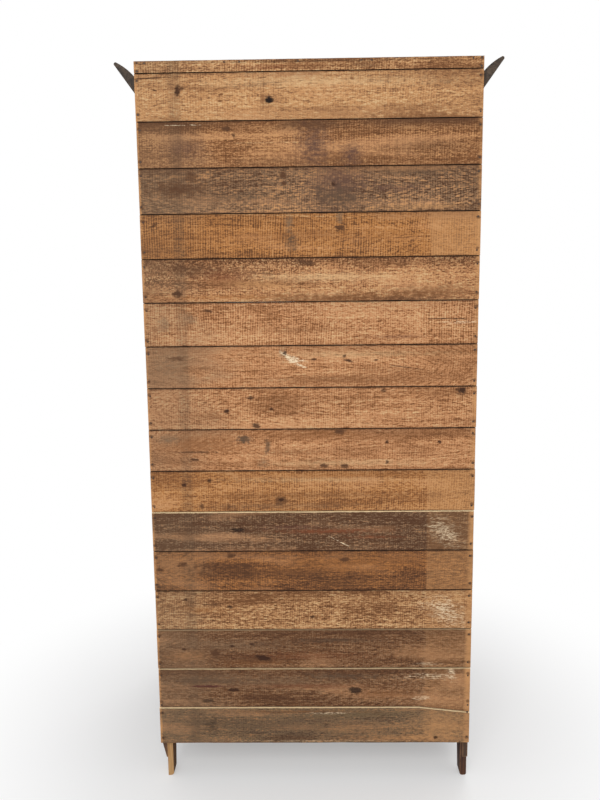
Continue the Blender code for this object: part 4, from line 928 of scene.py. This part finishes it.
def heads_tree(name, slotted):
    """Heads on points. Facing is 1 where they face +Y and -1 where they face -Y."""
    t = Tree(name, {
        "Head Width": ("Float", 0.005), "Head Rise": ("Float", 0.0008),
        "Facing": ("Float", 1.0), "Tilt": ("Float", 0.08), "Size Spread": ("Float", 0.1),
        "Seed": ("Int", 7), "Metal": ("Material", None)})
    width, rise, tilt = t.given("Head Width"), t.given("Head Rise"), t.given("Tilt")
    seed, spread = t.given("Seed"), t.given("Size Spread")
    ball = t.node("GeometryNodeMeshUVSphere", None, {
        "Segments": HEAD_SIDES, "Rings": HEAD_RINGS, "Radius": width * 0.5})
    at = t.parts(t.node("GeometryNodeInputPosition"))
    head = t.node("GeometryNodeSetPosition", None, {
        "Geometry": ball, "Position": t.vector(at[0], at[1], (at[2] * 0.6).least(rise))})
    if slotted:
        groove = t.node("GeometryNodeMeshCube", None, {
            "Size": t.vector(width * 1.4, width * 0.16, rise * 1.2)})
        raised = t.node("GeometryNodeTransform", None, {
            "Geometry": groove, "Translation": t.vector(z=rise)})
        head = t.node("GeometryNodeMeshBoolean", {"operation": "DIFFERENCE", "solver": "EXACT"},
                      {"Mesh 1": head, "Mesh 2": raised})
    part = t.parts(t.node("FunctionNodeRandomValue", {"data_type": "FLOAT_VECTOR"},
                          {0: (-1, -1, -1), 1: (1, 1, 1), "Seed": seed}))
    rotation = t.node("FunctionNodeEulerToRotation", None, {0: t.vector(
        part[0] * tilt + t.given("Facing") * (-math.pi / 2), part[1] * math.pi,
        part[2] * tilt)})
    size = t.node("FunctionNodeRandomValue", {"data_type": "FLOAT"}, {
        2: 1.0 - spread, 3: 1.0 + spread, "Seed": seed}, 1)
    placed = t.node("GeometryNodeInstanceOnPoints", None, {
        "Points": t.given("Geometry"), "Instance": head, "Rotation": rotation, "Scale": size})
    return t.end(placed, "Metal")


nail_tree, screw_tree = heads_tree("nail_heads", False), heads_tree("screw_heads", True)
print("head trees:", len(nail_tree.tree.nodes), "and", len(screw_tree.tree.nodes), "nodes")

# %% The nails
STRIP_NAILS = (0.452, 0.232, 0.190, 0.028, -0.146, -0.174, -0.452)
STRIP_NAIL_DROP = 0.006
NAIL_RISE, NAIL_WIDTH, NAIL_HEIGHT = 0.0006, 0.0058, 0.0010
ASIDE, UP = (-0.003, 0.001), (-0.04, 0.03)  # how far a nail strays, in metres and in shares


def loose_points(places):
    mesh = bpy.data.meshes.new("places")
    mesh.from_pydata([tuple(place) for place in places], [], [])
    return mesh


nail_places = []
for name in BOARDS:
    low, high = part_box(name)
    for side in (-1, 1):
        for part in NAIL_SHARES:
            nail_places.append((side * (high.x - NAIL_INSET + chance.uniform(*ASIDE)),
                                high.y - NAIL_RISE,
                                low.z + (part + chance.uniform(*UP)) * (high.z - low.z)))
strip_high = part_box("back_top_strip")[1]
nail_places += [(x, strip_high.y - NAIL_RISE, strip_high.z - STRIP_NAIL_DROP)
                for x in STRIP_NAILS]
nail_metal = dark_iron("iron_nails", 1.0)
nails = shown(grown(nail_tree, {"Head Width": NAIL_WIDTH, "Head Rise": NAIL_HEIGHT, "Facing": 1.0,
                                "Metal": nail_metal}, loose_points(nail_places)),
              "board_nails", "booth", [])
print(len(nail_places), "nails,", len(nails.data.polygons), "faces")

# %% The hinge screws
SCREW_WIDTH, SCREW_RISE = 0.0066, 0.0005
SCREW_PITCH, SCREW_END, SCREW_STAGGER, SCREW_SUNK = 0.112, 0.022, 0.003, 0.0002
HINGE_PLATE = 0.002
PLATE_MIDDLE = 0.0102
HINGES = {  # leaf: (body, the way its screws face, which edge of its box is the free one)
    "jamb_hinge_post_leaf": ("booth", 1, 0), "jamb_hinge_door_leaf": ("door_leaf_left", 1, 1),
    "fold_hinge_left_leaf": ("door_leaf_left", -1, 0),
    "fold_hinge_right_leaf": ("door_leaf_right", -1, 1),
}
for leaf, (body, facing, free) in HINGES.items():
    low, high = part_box(leaf)
    x = (low.x + PLATE_MIDDLE, high.x - PLATE_MIDDLE)[free]
    y = (low.y + HINGE_PLATE, high.y - HINGE_PLATE)[facing < 0]
    rows = int((high.z - low.z - 2 * SCREW_END) / SCREW_PITCH)
    step = (high.z - low.z - 2 * SCREW_END) / rows
    places = [(x + SCREW_STAGGER * (-1) ** row, y - facing * SCREW_SUNK,
               low.z + SCREW_END + row * step) for row in range(rows + 1)]
    shown(grown(screw_tree, {"Head Width": SCREW_WIDTH, "Head Rise": SCREW_RISE,
                             "Facing": float(facing), "Tilt": 0.015, "Size Spread": 0.02,
                             "Metal": old_brass("brass_screws_" + leaf, 8.0, 0.2)},
                loose_points(places)), "screws_" + leaf, body, [])
    print(leaf, rows + 1, "screws")
